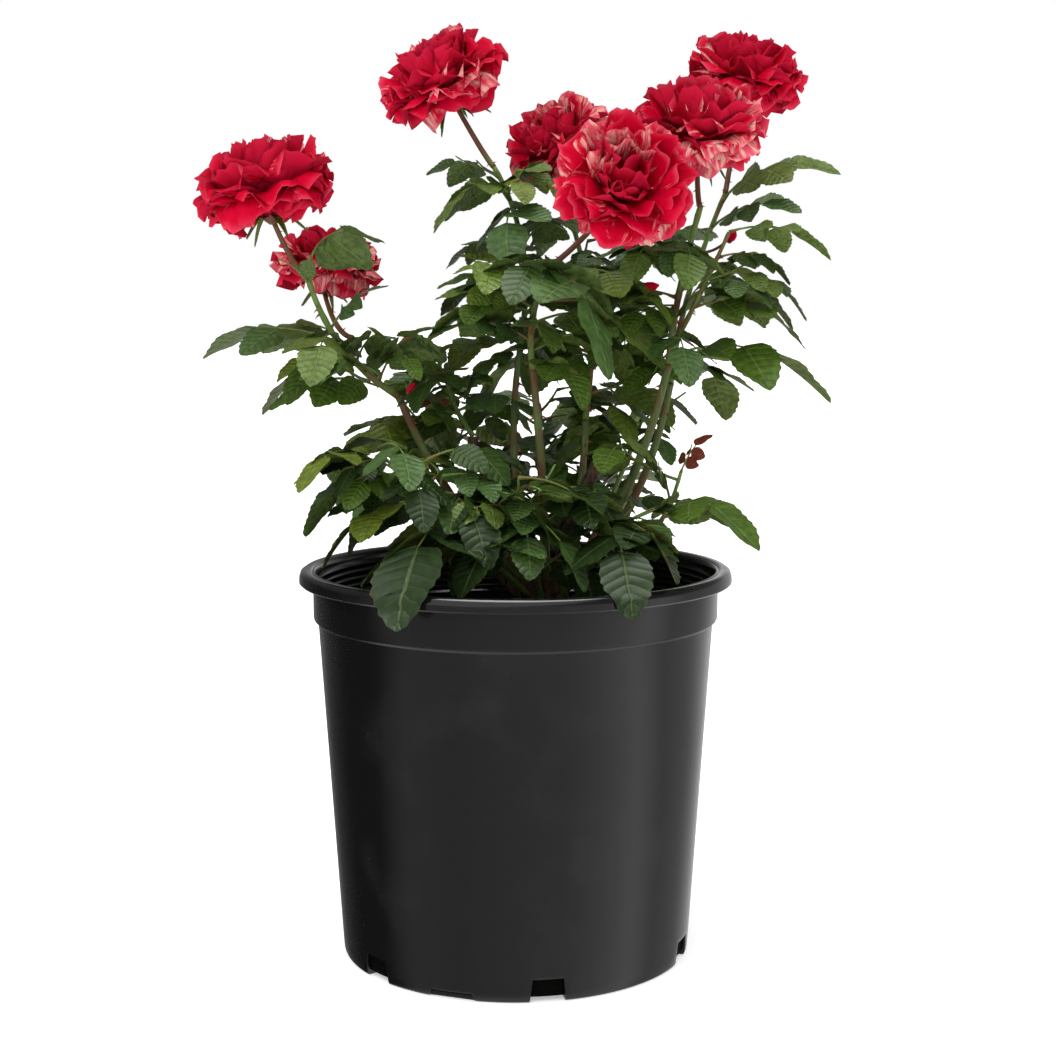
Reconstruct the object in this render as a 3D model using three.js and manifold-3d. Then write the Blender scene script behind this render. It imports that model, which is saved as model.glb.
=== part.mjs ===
// A rose bush in its black nursery pot, in millimetres, +Z up, -Y the side it is looked at from.
// The origin is the centre of the pot's flat underside. Green canes rise from a short woody crown,
// each carries a leafy shoot, and a flower stalk with its bloom stands on the tip of most shoots.
import * as THREE from "three";
import { mergeVertices } from "three/addons/utils/BufferGeometryUtils.js";
import Module from "manifold-3d";

const wasm = await Module();
wasm.setup();

const GAP = 0.3; // between neighbours that touch
const FINEST = 0.05; // edges left by a cut or join that are shorter than this are closed up
const UP = new THREE.Vector3(0, 0, 1);
const HANDS = [-1, 1]; // left and right along a leaf

// ---- driving dimensions ------------------------------------------------------------------------

const POT = {
  height: 252,
  rimRadius: 140, // outside of the rolled rim
  rimDepth: 8.5, // height of the rolled rim
  bandRadius: 131, // the stacking band under the rim
  bandBottom: 219,
  shoulderRadius: 128, // the body just under the band
  footRadius: 113.5,
  footBevel: 2,
  wall: 2.2,
  floor: 3,
  sides: 48,
};
const DRAINS = { count: 6, heading: -79.7, width: 23, height: 15, inward: 15 };
const LIFTS = { count: 3, heading: -110, width: 32, height: 5, inward: 4 };
const NOTCH_TOP = 0.42; // half a notch's width at its top, as a share of its width at its foot
const CUT = 2; // how far a cutter starts outside what it cuts

const SOIL_TOP = 205;
const CROWN = { at: [21, 4], flare: 20, neck: 14, height: 40, lean: [-2, 1], sides: 12, rings: 5 };

// Canes: the bare lower limbs, each with its foot in the crown, its tip, how far its middle is moved
// aside, and its radius at foot and tip. Those named old are the pruned woody stubs.
const CANES = [
  { name: "cane_left", foot: [13, 3, 236], tip: [-75, 0, 362], bow: [-6, 0, -8], radius: [3.4, 2.4] },
  {
    name: "cane_middle", foot: [19, -4, 238], tip: [11, -20, 380], bow: [2, -6, 0], radius: [3.2, 2.3],
  },
  {
    name: "cane_middle_back", foot: [24, 14, 238], tip: [46, 30, 345], bow: [5, 4, -6],
    radius: [3, 2.2],
  },
  {
    name: "cane_inner_left", foot: [14, 13, 236], tip: [3, 16, 392], bow: [-9, 5, 0],
    radius: [2.7, 2.1],
  },
  {
    name: "cane_right_front", foot: [29, -3, 236], tip: [98, -4, 383], bow: [7, -2, -9],
    radius: [3.5, 2.5],
  },
  {
    name: "cane_right_back", foot: [30, 8, 234], tip: [101, 18, 370], bow: [10, 5, -12],
    radius: [3.2, 2.2],
  },
  {
    name: "old_cane_left", foot: [11, 10, 228], tip: [-28, 30, 334], bow: [-14, 8, -14],
    radius: [4.8, 3.6],
  },
  {
    name: "old_cane_right", foot: [27, 4, 240], tip: [53, 9, 318], bow: [-4, 2, -2],
    radius: [5.2, 4.2],
  },
];

// Shoots: each a mass of foliage on one stem, from the crown or on from the tip of a cane. Leaves are
// spaced along the span of the stem and turn round it: heading is the first one's, in degrees round +Z
// from +X, and length (a leaf's reach) and rise (its first slope) change from foot to tip. Aimed leaves
// are [share of the stem, heading, length, rise, droop].
const SHOOTS = [
  {
    name: "foliage_left_high", on: "cane_left", tip: [-131, -14, 438], bow: [-7, -3, -6],
    radius: [2.3, 1.7], leaves: 3, span: [0.12, 0.55], heading: 60, turn: 100, length: [84, 76],
    rise: [14, 20], droop: 50, seed: 117,
    aimed: [[1, 340, 74, 76, 66], [0.9, 213, 55, 66, 50], [0.54, 180, 85, 22, 24],
      [0.4, 199, 51, 18, 36], [0.05, 186, 84, 28, 38], [0.27, 255, 72, 24, 26],
      [0.64, 9, 46, 62, 24], [0.16, 315, 68, 62, 34], [0.36, 299, 62, 50, 40]],
  },
  {
    name: "foliage_left_low", on: "crown", foot: [11, -4, 232], tip: [-74, -38, 318],
    bow: [-10, -8, 8], radius: [2.1, 1.4], leaves: 2, span: [0.5, 0.9], heading: 120, turn: 60,
    length: [80, 80], rise: [16, 16], droop: 52, seed: 231,
    aimed: [[1, 182, 69, 32, 40], [0.92, 220, 53, 22, 44], [0.7, 202, 77, 2, 36],
      [0.42, 253, 130, 32, 62], [0.8, 178, 61, -4, 50]],
  },
  {
    name: "foliage_inner_left", on: "old_cane_left", tip: [-43, 24, 372], bow: [-6, 2, 4],
    radius: [1.8, 1.2], leaves: 4, span: [0.3, 1], heading: 205, turn: 137, length: [66, 74],
    rise: [22, 30], droop: 52, seed: 305,
    aimed: [[0.5, 221, 28, 24, 30], [0.7, 306, 44, 44, 40], [0.8, 149, 46, 74, 36],
      [0.15, 163, 60, 22, 50]],
  },
  {
    name: "foliage_middle", on: "cane_middle", tip: [24, -19, 446], bow: [-6, -2, 2],
    radius: [2.2, 1.8], leaves: 2, span: [0.1, 0.5], heading: 100, turn: 80, length: [84, 70],
    rise: [20, 20], droop: 50, seed: 442,
    aimed: [[0.97, 255, 78, 20, 40], [0.4, 352, 92, 28, 50], [0.3, 290, 56, 42, 60],
      [0.72, 298, 118, 38, 86], [0.55, 173, 62, 32, 26], [0.9, 344, 87, 16, 40],
      [0.25, 188, 65, 36, 36], [0.04, 309, 64, 24, 60], [0.8, 30, 72, 32, 40]],
  },
  {
    name: "foliage_middle_left", on: "cane_inner_left", tip: [-14, 20, 509], bow: [10, 2, 6],
    radius: [2, 1.6], leaves: 2, span: [0.08, 0.2], heading: 70, turn: -70, length: [76, 60],
    rise: [26, 26], droop: 50, seed: 523,
    aimed: [[0.92, 203, 52, 32, 28], [0.86, 308, 44, 42, 34], [0.78, 229, 83, 42, 74],
      [0.68, 261, 80, 28, 70], [0.5, 304, 51, 52, 40], [0.25, 169, 60, 40, 36], [0.1, 252, 51, 28, 44],
      [0.03, 187, 70, 14, 30], [0.01, 204, 52, -6, 40]],
  },
  {
    name: "foliage_middle_back", on: "cane_middle_back", tip: [36, 44, 478], bow: [8, 6, 2],
    radius: [2.1, 1.6], leaves: 5, span: [0.12, 0.92], heading: 40, turn: 139, length: [96, 70],
    rise: [16, 26], droop: 44, seed: 648,
    aimed: [[0.3, 238, 50, 18, 44], [0.62, 217, 58, 24, 40]],
  },
  {
    name: "foliage_right_front", on: "cane_right_front", tip: [117, -6, 482], bow: [-3, 0, -3],
    radius: [2.3, 1.8], leaves: 3, span: [0.2, 0.7], heading: 150, turn: 60, length: [84, 76],
    rise: [14, 22], droop: 48, seed: 719,
    aimed: [[0.3, 329, 56, 64, 50], [0.05, 356, 108, 24, 44], [0.16, 278, 69, 26, 60],
      [0.4, 227, 55, 8, 30], [0.66, 197, 57, 32, 22], [0.8, 247, 53, 20, 60]],
  },
  {
    name: "foliage_right_back", on: "cane_right_back", tip: [139, 55, 494], bow: [-6, 5, -5],
    radius: [2, 1.6], leaves: 4, span: [0.12, 0.8], heading: 62, turn: 140, length: [88, 72],
    rise: [14, 22], droop: 46, seed: 804,
    aimed: [[0.2, 234, 67, -12, 44], [0.95, 346, 88, 58, 56], [0.84, 326, 67, 38, 34],
      [0.66, 352, 59, 12, 46]],
  },
  {
    name: "foliage_right_side", on: "foliage_right_front", foot: [100, -5, 392], tip: [134, -20, 466],
    bow: [2, -4, 4], radius: [1.6, 1.2], leaves: 0, span: [0, 1], heading: 0, turn: 0,
    length: [80, 80], rise: [10, 10], droop: 50, seed: 915,
    aimed: [[1, 0, 64, 20, 40], [0.74, 15, 54, 22, 46], [0.32, 353, 76, 20, 42],
      [0.5, 330, 52, 24, 50]],
  },
  {
    name: "foliage_right_low", on: "crown", foot: [34, -5, 230], tip: [104, -34, 316],
    bow: [10, -7, -8], radius: [1.8, 1.1], leaves: 0, span: [0.6, 0.9], heading: 60, turn: 130,
    length: [56, 50], rise: [30, 40], droop: 50, seed: 1021,
    aimed: [[0.62, 334, 98, 70, 84], [1, 15, 23, 70, 20], [0.83, 209, 52, 78, 30]],
  },
  {
    name: "foliage_base_front", on: "crown", foot: [18, -9, 230], tip: [2, -62, 292], bow: [-2, -6, 8],
    radius: [2, 1.3], leaves: 2, span: [0.4, 0.8], heading: 0, turn: 180, length: [76, 76],
    rise: [0, 6], droop: 50, seed: 1147,
    aimed: [[1, 222, 57, 38, 50], [0.95, 315, 49, 58, 44], [0.7, 240, 79, 24, 60],
      [0.8, 278, 70, 26, 58], [0.6, 206, 76, 34, 40]],
  },
  {
    name: "foliage_base_right", on: "crown", foot: [27, -8, 230], tip: [56, -50, 286], bow: [6, -5, 6],
    radius: [1.8, 1.2], leaves: 2, span: [0.5, 0.9], heading: 60, turn: 60, length: [76, 70],
    rise: [14, 14], droop: 50, seed: 1233,
    aimed: [[0.92, 278, 103, 22, 60], [1, 302, 79, 18, 44], [0.8, 335, 36, 26, 40]],
  },
  {
    name: "foliage_back_left", on: "crown", foot: [14, 14, 230], tip: [-62, 62, 344], bow: [-8, 10, 6],
    radius: [2.1, 1.4], leaves: 7, span: [0.34, 1], heading: 150, turn: 133, length: [92, 88],
    rise: [4, 20], droop: 50, seed: 1319,
    aimed: [],
  },
  {
    name: "foliage_back_right", on: "crown", foot: [31, 14, 230], tip: [88, 74, 350], bow: [6, 10, 4],
    radius: [2.1, 1.4], leaves: 5, span: [0.6, 1], heading: 95, turn: 35, length: [92, 90],
    rise: [16, 28], droop: 50, seed: 1427,
    aimed: [],
  },
  {
    name: "foliage_back_middle", on: "crown", foot: [22, 17, 230], tip: [16, 84, 352], bow: [0, 8, 4],
    radius: [2, 1.3], leaves: 7, span: [0.4, 1], heading: 88, turn: 128, length: [88, 80],
    rise: [6, 20], droop: 54, seed: 1511,
    aimed: [],
  },
];

// Blooms: a flower stalk on the tip of a shoot, or on its side where a foot is given, with its bloom.
const BLOOMS = [
  {
    name: "bloom_left", on: "foliage_left_high", at: [-155, -22, 491], faces: [-0.2, -0.12, 1],
    size: 98, seed: 21,
  },
  {
    name: "bloom_left_low", on: "foliage_left_high", foot: [-104, -7, 400], at: [-125, 48, 444],
    faces: [0.15, 0.1, 1], size: 80, seed: 34,
  },
  {
    name: "bloom_top_left", on: "foliage_middle_left", at: [-45, 20, 562], faces: [-0.42, -0.3, 0.86],
    size: 90, seed: 47,
  },
  {
    name: "bloom_middle_back", on: "foliage_middle_back", at: [28, 46, 525],
    faces: [-0.5, -0.45, 0.75], size: 80, seed: 59,
  },
  {
    name: "bloom_middle", on: "foliage_middle", at: [66, -58, 494], faces: [0.12, -0.86, 0.42],
    size: 92, seed: 63,
  },
  {
    name: "bloom_right", on: "foliage_right_front", at: [116, -3, 530], faces: [0.02, -0.42, 0.9],
    size: 92, seed: 76,
  },
  {
    name: "bloom_top_right", on: "foliage_right_back", at: [153, 76, 571], faces: [0.12, -0.25, 0.96],
    size: 88, seed: 88,
  },
];

// Shares of a leaf's length: its rachis takes up petiole, its end leaflet terminal, and a pair of side
// leaflets of each size in pairs stands at each station of the rachis, spread off it in degrees.
const LEAF = {
  petiole: 0.64,
  terminal: 0.44,
  pairs: [0.33, 0.4],
  stations: [0.4, 0.74],
  spread: 64,
  hang: 0.28, // how hard a leaflet is pulled down, less or more by half
  twist: 16, // degrees a side leaflet turns its upper face to the leaf's tip
  width: 0.84, // of a leaflet, as a share of its own length, like widest, fold and sag
  widest: 0.42,
  fold: 0.22,
  sag: 0.12,
  thickness: 1, // in millimetres at its middle, like base, half its width where it starts
  base: 0.8,
};
const RACHIS = [1.3, 1.1, 0.95, 0.8]; // its radius at the foot, at each station and at the end
const STALK = { radius: [1.9, 1.6], sides: 6, steps: 3 };
// A bloom's outline in tiers from its underside up: the reach and height of each, as shares of its
// radius. Tiers of petals stand out between the hollows from which they come.
const TIERS = [
  { reach: 0.3, height: -0.42, petals: false },
  { reach: 0.84, height: -0.38, petals: true },
  { reach: 0.6, height: -0.2, petals: false },
  { reach: 1.02, height: -0.06, petals: true },
  { reach: 0.62, height: 0.08, petals: false },
  { reach: 0.97, height: 0.28, petals: true },
  { reach: 0.54, height: 0.36, petals: false },
  { reach: 0.74, height: 0.58, petals: true },
  { reach: 0.3, height: 0.54, petals: false },
];
const PETAL = { perTier: 6, notch: 0.74, ruffle: 0.08, heart: 0.64 }; // shares of the bloom's radius
const HIP = { radius: 0.14, below: 0.44, flare: 0.3 };

const COLOURS = {
  pot: new THREE.MeshStandardMaterial({ color: 0x1d1d1e, roughness: 0.38, metalness: 0 }),
  soil: new THREE.MeshStandardMaterial({ color: 0x33261c, roughness: 0.95, metalness: 0 }),
  wood: new THREE.MeshStandardMaterial({ color: 0x4a3526, roughness: 0.85, metalness: 0 }),
  cane: new THREE.MeshStandardMaterial({ color: 0x55692c, roughness: 0.55, metalness: 0 }),
  leaf: new THREE.MeshStandardMaterial({ color: 0x2c4722, roughness: 0.45, metalness: 0 }),
  petal: new THREE.MeshStandardMaterial({ color: 0xb3081f, roughness: 0.55, metalness: 0 }),
};

// ---- small helpers -----------------------------------------------------------------------------

const vector = (list) => new THREE.Vector3(...list);
const radians = THREE.MathUtils.degToRad;
const mix = THREE.MathUtils.lerp;

// The same run of numbers from 0 to 1 for the same seed.
function seeded(seed) {
  let state = seed;
  return () => (state = (state * 16807) % 2147483647) / 2147483647;
}

// A number spread evenly about 0, up to half either way.
const swing = (random, half) => (random() * 2 - 1) * half;

// A unit vector from a heading round +Z and a slope above level.
function pointing(heading, slope) {
  const h = radians(heading);
  const s = radians(slope);
  return new THREE.Vector3(Math.cos(h) * Math.cos(s), Math.sin(h) * Math.cos(s), Math.sin(s));
}

// A closed geometry as a solid.
function solidOf(geometry) {
  const bare = geometry.clone();
  bare.deleteAttribute("normal");
  bare.deleteAttribute("uv");
  const merged = mergeVertices(bare, 1e-4);
  const vertProperties = merged.attributes.position.array;
  return new wasm.Manifold(new wasm.Mesh({ numProp: 3, vertProperties, triVerts: merged.index.array }));
}

// A solid as a named mesh.
function meshOf(name, solid, material) {
  const { numProp, vertProperties, triVerts } = solid.getMesh();
  const geometry = new THREE.BufferGeometry();
  geometry.setAttribute("position", new THREE.BufferAttribute(vertProperties, numProp));
  geometry.setIndex(new THREE.BufferAttribute(triVerts, 1));
  geometry.computeVertexNormals();
  const mesh = new THREE.Mesh(geometry, material);
  mesh.name = name;
  return mesh;
}

// Moves every vertex of a geometry to where place(vertex) puts it.
function reshape(geometry, place) {
  const position = geometry.attributes.position;
  const point = new THREE.Vector3();
  for (let i = 0; i < position.count; i++) {
    const moved = place(point.fromBufferAttribute(position, i));
    position.setXYZ(i, moved.x, moved.y, moved.z);
  }
  return geometry;
}

// The largest body of a cut or joined solid, without loose scraps and slivers.
function wholeOf(solid) {
  const bodies = solid.simplify(FINEST).decompose();
  return bodies.reduce((best, body) => (body.volume() > best.volume() ? body : best));
}

// ---- limbs -------------------------------------------------------------------------------------

// A smooth bend from foot to tip, its middle moved aside by bow.
function bend(foot, tip, bow) {
  const middle = foot.clone().add(tip).multiplyScalar(0.5).addScaledVector(bow, 2);
  return new THREE.QuadraticBezierCurve3(foot, middle, tip);
}

// Along, side and upper directions at a share of a curve. Side stays level.
function frameAt(curve, share) {
  const along = curve.getTangent(share).normalize();
  const side = new THREE.Vector3().crossVectors(along, UP);
  if (side.lengthSq() < 1e-4) side.set(1, 0, 0);
  side.normalize();
  return { along, side, upper: new THREE.Vector3().crossVectors(side, along).normalize() };
}

// A round limb that tapers along a curve: a closed cylinder bent to it.
function limb(curve, [footRadius, tipRadius], sides, steps) {
  const straight = new THREE.CylinderGeometry(tipRadius, footRadius, 1, sides, steps);
  return solidOf(
    reshape(straight, ({ x, y, z }) => {
      const share = y + 0.5;
      const { side, upper } = frameAt(curve, share);
      return curve.getPoint(share).addScaledVector(side, x).addScaledVector(upper, z);
    }),
  );
}

// ---- leaves ------------------------------------------------------------------------------------

// A closed skin of points and faces, made up a face at a time.
class Skin {
  points = [];
  faces = [];

  // A face that looks out on the side from which its corners run anticlockwise, unless it is turned.
  face(turned, ...corners) {
    const found = corners.map((corner) => {
      if (!this.points.includes(corner)) this.points.push(corner);
      return this.points.indexOf(corner);
    });
    if (turned) found.reverse();
    for (let i = 2; i < found.length; i++) this.faces.push(found[0], found[i - 1], found[i]);
  }

  // Faces from one point to each stretch of a line of others, or of a ring where it is closed.
  fan(turned, centre, rim, closed) {
    for (let i = 1; i < rim.length; i++) this.face(turned, centre, rim[i - 1], rim[i]);
    if (closed) this.face(turned, centre, rim.at(-1), rim[0]);
  }

  solid() {
    const vertProperties = new Float32Array(this.points.flatMap((point) => point.toArray()));
    const triVerts = new Uint32Array(this.faces);
    return new wasm.Manifold(new wasm.Mesh({ numProp: 3, vertProperties, triVerts }));
  }
}

// One leaflet between two points of the rachis, folded up along its midrib and sagging to its tip. Its
// rim runs anticlockwise seen from above, or clockwise where turned.
function leaflet(near, far, { along, side, upper }, length, turned) {
  const halfWidth = (length * LEAF.width) / 2;
  const root = near.clone().add(far).multiplyScalar(0.5);
  const place = (share, across, lift) => {
    const folded = Math.abs(across) * halfWidth * LEAF.fold;
    const sagged = length * LEAF.sag * share * share;
    return root
      .clone()
      .addScaledVector(along, share * length)
      .addScaledVector(side, across * halfWidth)
      .addScaledVector(upper, lift + folded - sagged);
  };
  return {
    rim: [near, place(LEAF.widest, -1, 0), place(1, 0, 0), place(LEAF.widest, 1, 0), far],
    top: place(LEAF.widest, 0, LEAF.thickness / 2),
    bottom: place(LEAF.widest, 0, -LEAF.thickness / 2),
    turned,
  };
}

// A leaflet as a solid of its own.
function bladeOf({ rim, top, bottom, turned }) {
  const skin = new Skin();
  skin.fan(turned, top, rim, true);
  skin.fan(!turned, bottom, rim, true);
  return skin.solid();
}

// The corners of the four-sided rachis at its foot, at each station and at its end.
function rachisRings(curve) {
  return [0, ...LEAF.stations, 1].map((share, k) => {
    const { along, side, upper } = frameAt(curve, share);
    const at = curve.getPoint(share);
    const off = (way, far) => at.clone().addScaledVector(way, far);
    return {
      along,
      upper,
      top: off(upper, RACHIS[k]),
      bottom: off(upper, -RACHIS[k]),
      edges: HANDS.map((hand) => off(side, hand * RACHIS[k])),
    };
  });
}

// The frame of a leaflet that leaves the rachis at an angle, rolled with the leaf and hanging a little.
function bladeFrame({ along, upper }, roll, turn, twist, random) {
  const tilted = upper.clone().applyAxisAngle(along, radians(roll + swing(random, 10)));
  const way = along.clone().applyAxisAngle(tilted, radians(turn + swing(random, 7)));
  way.addScaledVector(UP, -LEAF.hang * (0.5 + random())).normalize();
  const side = new THREE.Vector3().crossVectors(tilted, way).normalize();
  side.applyAxisAngle(way, radians(twist + swing(random, 6)));
  return { along: way, side, upper: new THREE.Vector3().crossVectors(way, side) };
}

// The leaf's skin round its rachis, opened at each station into the leaflets that stand there.
function leafSkin(rings, pairs, endBlade) {
  const skin = new Skin();
  HANDS.forEach((hand, h) => {
    const turned = hand < 0;
    const blades = rings.map((_, k) => pairs[k - 1]?.[h]);
    const edge = rings.map((ring, k) => {
      const { rim } = blades[k] ?? { rim: [ring.edges[h]] };
      return [rim[0], rim.at(-1)]; // where the skin arrives and where it goes on from
    });
    for (let k = 1; k < rings.length; k++) {
      skin.face(turned, rings[k - 1].top, edge[k - 1][1], edge[k][0], rings[k].top);
      skin.face(!turned, rings[k - 1].bottom, edge[k - 1][1], edge[k][0], rings[k].bottom);
      if (!blades[k]) continue;
      skin.fan(turned, blades[k].top, [rings[k].top, ...blades[k].rim], true);
      skin.fan(!turned, blades[k].bottom, [rings[k].bottom, ...blades[k].rim], true);
    }
  });
  const [first, last] = [rings[0], rings.at(-1)];
  skin.face(false, first.top, first.edges[0], first.bottom, first.edges[1]);
  if (endBlade) {
    skin.fan(false, endBlade.top, [last.top, ...endBlade.rim], true);
    skin.fan(true, endBlade.bottom, [last.bottom, ...endBlade.rim], true);
  } else {
    skin.face(false, last.top, last.edges[1], last.bottom, last.edges[0]);
  }
  return skin.solid();
}

// A pinnate leaf as one thin closed solid: a rachis with pairs of leaflets and one at its end. A leaflet
// that clear(solid) refuses, or that meets one before it, is left out.
function compoundLeaf(foot, heading, length, rise, droop, random, clear) {
  const reach = length * LEAF.petiole;
  const middle = foot.clone().addScaledVector(pointing(heading, rise), reach / 2);
  const turned = heading + swing(random, 8);
  const end = middle.clone().addScaledVector(pointing(turned, rise - droop), reach / 2);
  const rings = rachisRings(new THREE.QuadraticBezierCurve3(foot, middle, end));
  const roll = swing(random, 24);
  const kept = [];
  const offer = (blade) => {
    const solid = bladeOf(blade);
    if (!clear(solid) || kept.some((other) => other.minGap(solid, GAP) === 0)) return null;
    kept.push(solid);
    return blade;
  };
  const pairs = LEAF.stations.map((_, i) =>
    HANDS.map((hand, h) => {
      const ring = rings[i + 1];
      const frame = bladeFrame(ring, roll, -hand * LEAF.spread, hand * LEAF.twist, random);
      if (hand < 0) frame.side.negate(); // so that it points to the leaf's tip on both hands
      const beside = (off) => ring.edges[h].clone().addScaledVector(ring.along, off);
      const size = length * LEAF.pairs[i] * (1 + swing(random, 0.1));
      return offer(leaflet(beside(-LEAF.base), beside(LEAF.base), frame, size, hand < 0));
    }),
  );
  const last = rings.at(-1);
  const endSize = length * LEAF.terminal * (1 + swing(random, 0.1));
  const endFrame = bladeFrame(last, roll, 0, 0, random);
  return leafSkin(rings, pairs, offer(leaflet(last.edges[1], last.edges[0], endFrame, endSize, false)));
}

// ---- blooms ------------------------------------------------------------------------------------

// The head of a double bloom: tiers of ruffled petals, each tier turned by half a petal.
function bloomHead(radius, random) {
  const points = 3 * PETAL.perTier; // two on a petal's edge and one in the notch beside it
  const rings = TIERS.map(({ reach, height, petals }, tier) =>
    Array.from({ length: points }, (_, i) => {
      const out = petals && i % 3 === 0 ? PETAL.notch : 1 + swing(random, petals ? PETAL.ruffle : 0);
      const high = height + swing(random, petals ? PETAL.ruffle : 0);
      return pointing(((i + 0.75 * tier) * 360) / points, 0).multiplyScalar(out * reach).setZ(high);
    }),
  );
  const skin = new Skin();
  for (let tier = 1; tier < rings.length; tier++) {
    const [below, above] = [rings[tier - 1], rings[tier]];
    for (let i = 0; i < points; i++) {
      const next = (i + 1) % points;
      skin.face(false, below[i], below[next], above[next], above[i]);
    }
  }
  skin.fan(true, new THREE.Vector3(0, 0, TIERS[0].height - 0.02), rings[0], true);
  skin.fan(false, new THREE.Vector3(0, 0, PETAL.heart), rings.at(-1), true);
  return skin.solid().scale(radius);
}

// A bloom on its hip and stalk.
function bloom(foot, { at, faces, size, seed }) {
  const radius = size / 2;
  const facing = vector(faces).normalize();
  const turn = new THREE.Quaternion().setFromUnitVectors(UP, facing);
  const placed = new THREE.Matrix4().compose(vector(at), turn, new THREE.Vector3(1, 1, 1));
  const head = bloomHead(radius, seeded(seed)).transform(placed.elements);
  const neck = vector(at).addScaledVector(facing, -radius * HIP.below);
  const bent = foot.clone().lerp(neck, 0.5).addScaledVector(facing, -radius * HIP.flare);
  const inside = neck.clone().addScaledVector(facing, radius * 0.1);
  const curve = new THREE.QuadraticBezierCurve3(foot, bent, inside);
  const hip = solidOf(new THREE.SphereGeometry(radius * HIP.radius, 6, 4)).translate(neck.toArray());
  return wasm.Manifold.union([head, hip, limb(curve, STALK.radius, STALK.sides, STALK.steps)]);
}

// ---- pot, soil and crown -----------------------------------------------------------------------

function wallRadiusAt(z) {
  return mix(POT.footRadius, POT.shoulderRadius, z / POT.bandBottom);
}

// A wedge-shaped cutter for a notch in the pot's foot, wider below than above.
function notch({ width, height, inward }, heading) {
  const outline = new THREE.Shape([
    new THREE.Vector2(-width / 2, -CUT),
    new THREE.Vector2(width / 2, -CUT),
    new THREE.Vector2(width * NOTCH_TOP, height),
    new THREE.Vector2(-width * NOTCH_TOP, height),
  ]);
  const cutter = new THREE.ExtrudeGeometry(outline, { depth: inward + 4 * CUT, bevelEnabled: false });
  cutter.rotateX(Math.PI / 2).rotateZ(Math.PI / 2);
  cutter.translate(POT.footRadius - inward, 0, 0).rotateZ(radians(heading));
  return solidOf(cutter);
}

function pot() {
  const { height, rimRadius, rimDepth, bandRadius, bandBottom } = POT;
  const { shoulderRadius, footRadius, footBevel, wall, floor } = POT;
  const profile = [
    [0, 0],
    [footRadius - footBevel, 0],
    [footRadius, footBevel],
    [shoulderRadius, bandBottom],
    [bandRadius, bandBottom + 2],
    [bandRadius, height - rimDepth],
    [rimRadius - 1, height - rimDepth],
    [rimRadius, height - 3],
    [rimRadius - 2.5, height],
    [bandRadius - wall, height],
    [shoulderRadius - wall, bandBottom],
    [footRadius - wall, floor],
    [0, floor],
  ].map(([r, z]) => new THREE.Vector2(r, z));
  const shell = solidOf(new THREE.LatheGeometry(profile, POT.sides).rotateX(Math.PI / 2));
  const cuts = [DRAINS, LIFTS].flatMap((row) =>
    Array.from({ length: row.count }, (_, i) => notch(row, row.heading + (360 / row.count) * i)),
  );
  return shell.subtract(wasm.Manifold.union(cuts));
}

// Potting mix that fills the pot to its planting line.
function soil() {
  const inside = (z) => wallRadiusAt(z) - POT.wall - GAP;
  const foot = POT.floor + GAP;
  const profile = [
    [0, foot],
    [inside(foot), foot],
    [inside(SOIL_TOP), SOIL_TOP],
    [0, SOIL_TOP],
  ].map(([r, z]) => new THREE.Vector2(r, z));
  return solidOf(new THREE.LatheGeometry(profile, POT.sides).rotateX(Math.PI / 2));
}

// The woody crown: a leaning stump with a flared foot, from its flat cut on the soil to its fork.
function crown(extra) {
  const { at, flare, neck, height, lean, sides, rings } = CROWN;
  const foot = SOIL_TOP + GAP;
  return solidOf(
    reshape(new THREE.CylinderGeometry(1, 1, 1, sides, rings), ({ x, y, z }) => {
      const share = y + 0.5;
      const fork = Math.max(0, share - 0.7) / 0.3;
      const radius = neck + (flare - neck) * (1 - share) ** 2.2 - 4.5 * fork * fork + extra;
      const knobbly = 1 + 0.07 * Math.sin(5 * Math.atan2(z, x) + 4 * share);
      const lift = share * height + (share > 0.5 ? extra : 0) + 3.5 * (1 - Math.hypot(x, z)) * fork;
      return new THREE.Vector3(
        at[0] + lean[0] * share + x * radius * knobbly,
        at[1] + lean[1] * share - z * radius * knobbly,
        foot + lift,
      );
    }),
  );
}

// ---- the plant ---------------------------------------------------------------------------------

const solids = new Map(); // every node's solid, in the order of making
const guards = new Map(); // limbs grown by the gap, which what comes near them is cut by
const curves = new Map(); // each limb's line

solids.set("pot", pot());
solids.set("potting_mix", soil());
solids.set("crown", crown(0));
guards.set("crown", crown(GAP));

// Where a limb starts: at its given foot, or just past the tip of what it carries on.
function footOn(on, foot) {
  if (foot) return vector(foot);
  const below = curves.get(on);
  return below.getPoint(1).addScaledVector(below.getTangent(1), GAP);
}

function lineOf({ on, foot, tip, bow }) {
  return bend(footOn(on, foot), vector(tip), vector(bow));
}

// Grows a limb, cut clear of every limb before it.
function grow(row, sides, steps) {
  const line = lineOf(row);
  let grown = limb(line, row.radius, sides, steps);
  for (const guard of guards.values()) grown = wholeOf(grown.subtract(guard));
  curves.set(row.name, line);
  guards.set(row.name, limb(line, row.radius.map((r) => r + GAP), sides, steps));
  return grown;
}

for (const cane of CANES) solids.set(cane.name, grow(cane, 7, 5));

const stems = new Map(SHOOTS.map((shoot) => [shoot.name, grow(shoot, 5, 5)])); // bare as yet

for (const flower of BLOOMS) {
  const whole = bloom(footOn(flower.on, flower.foot), flower);
  solids.set(flower.name, wholeOf(whole.subtract(guards.get(flower.on))));
}

// True if nothing but its own shoot's stem is within the gap of a piece.
function isClear(piece, own) {
  const others = [...solids, ...stems];
  return others.every(([name, solid]) => name === own || piece.minGap(solid, 2 * GAP) >= GAP);
}

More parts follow.
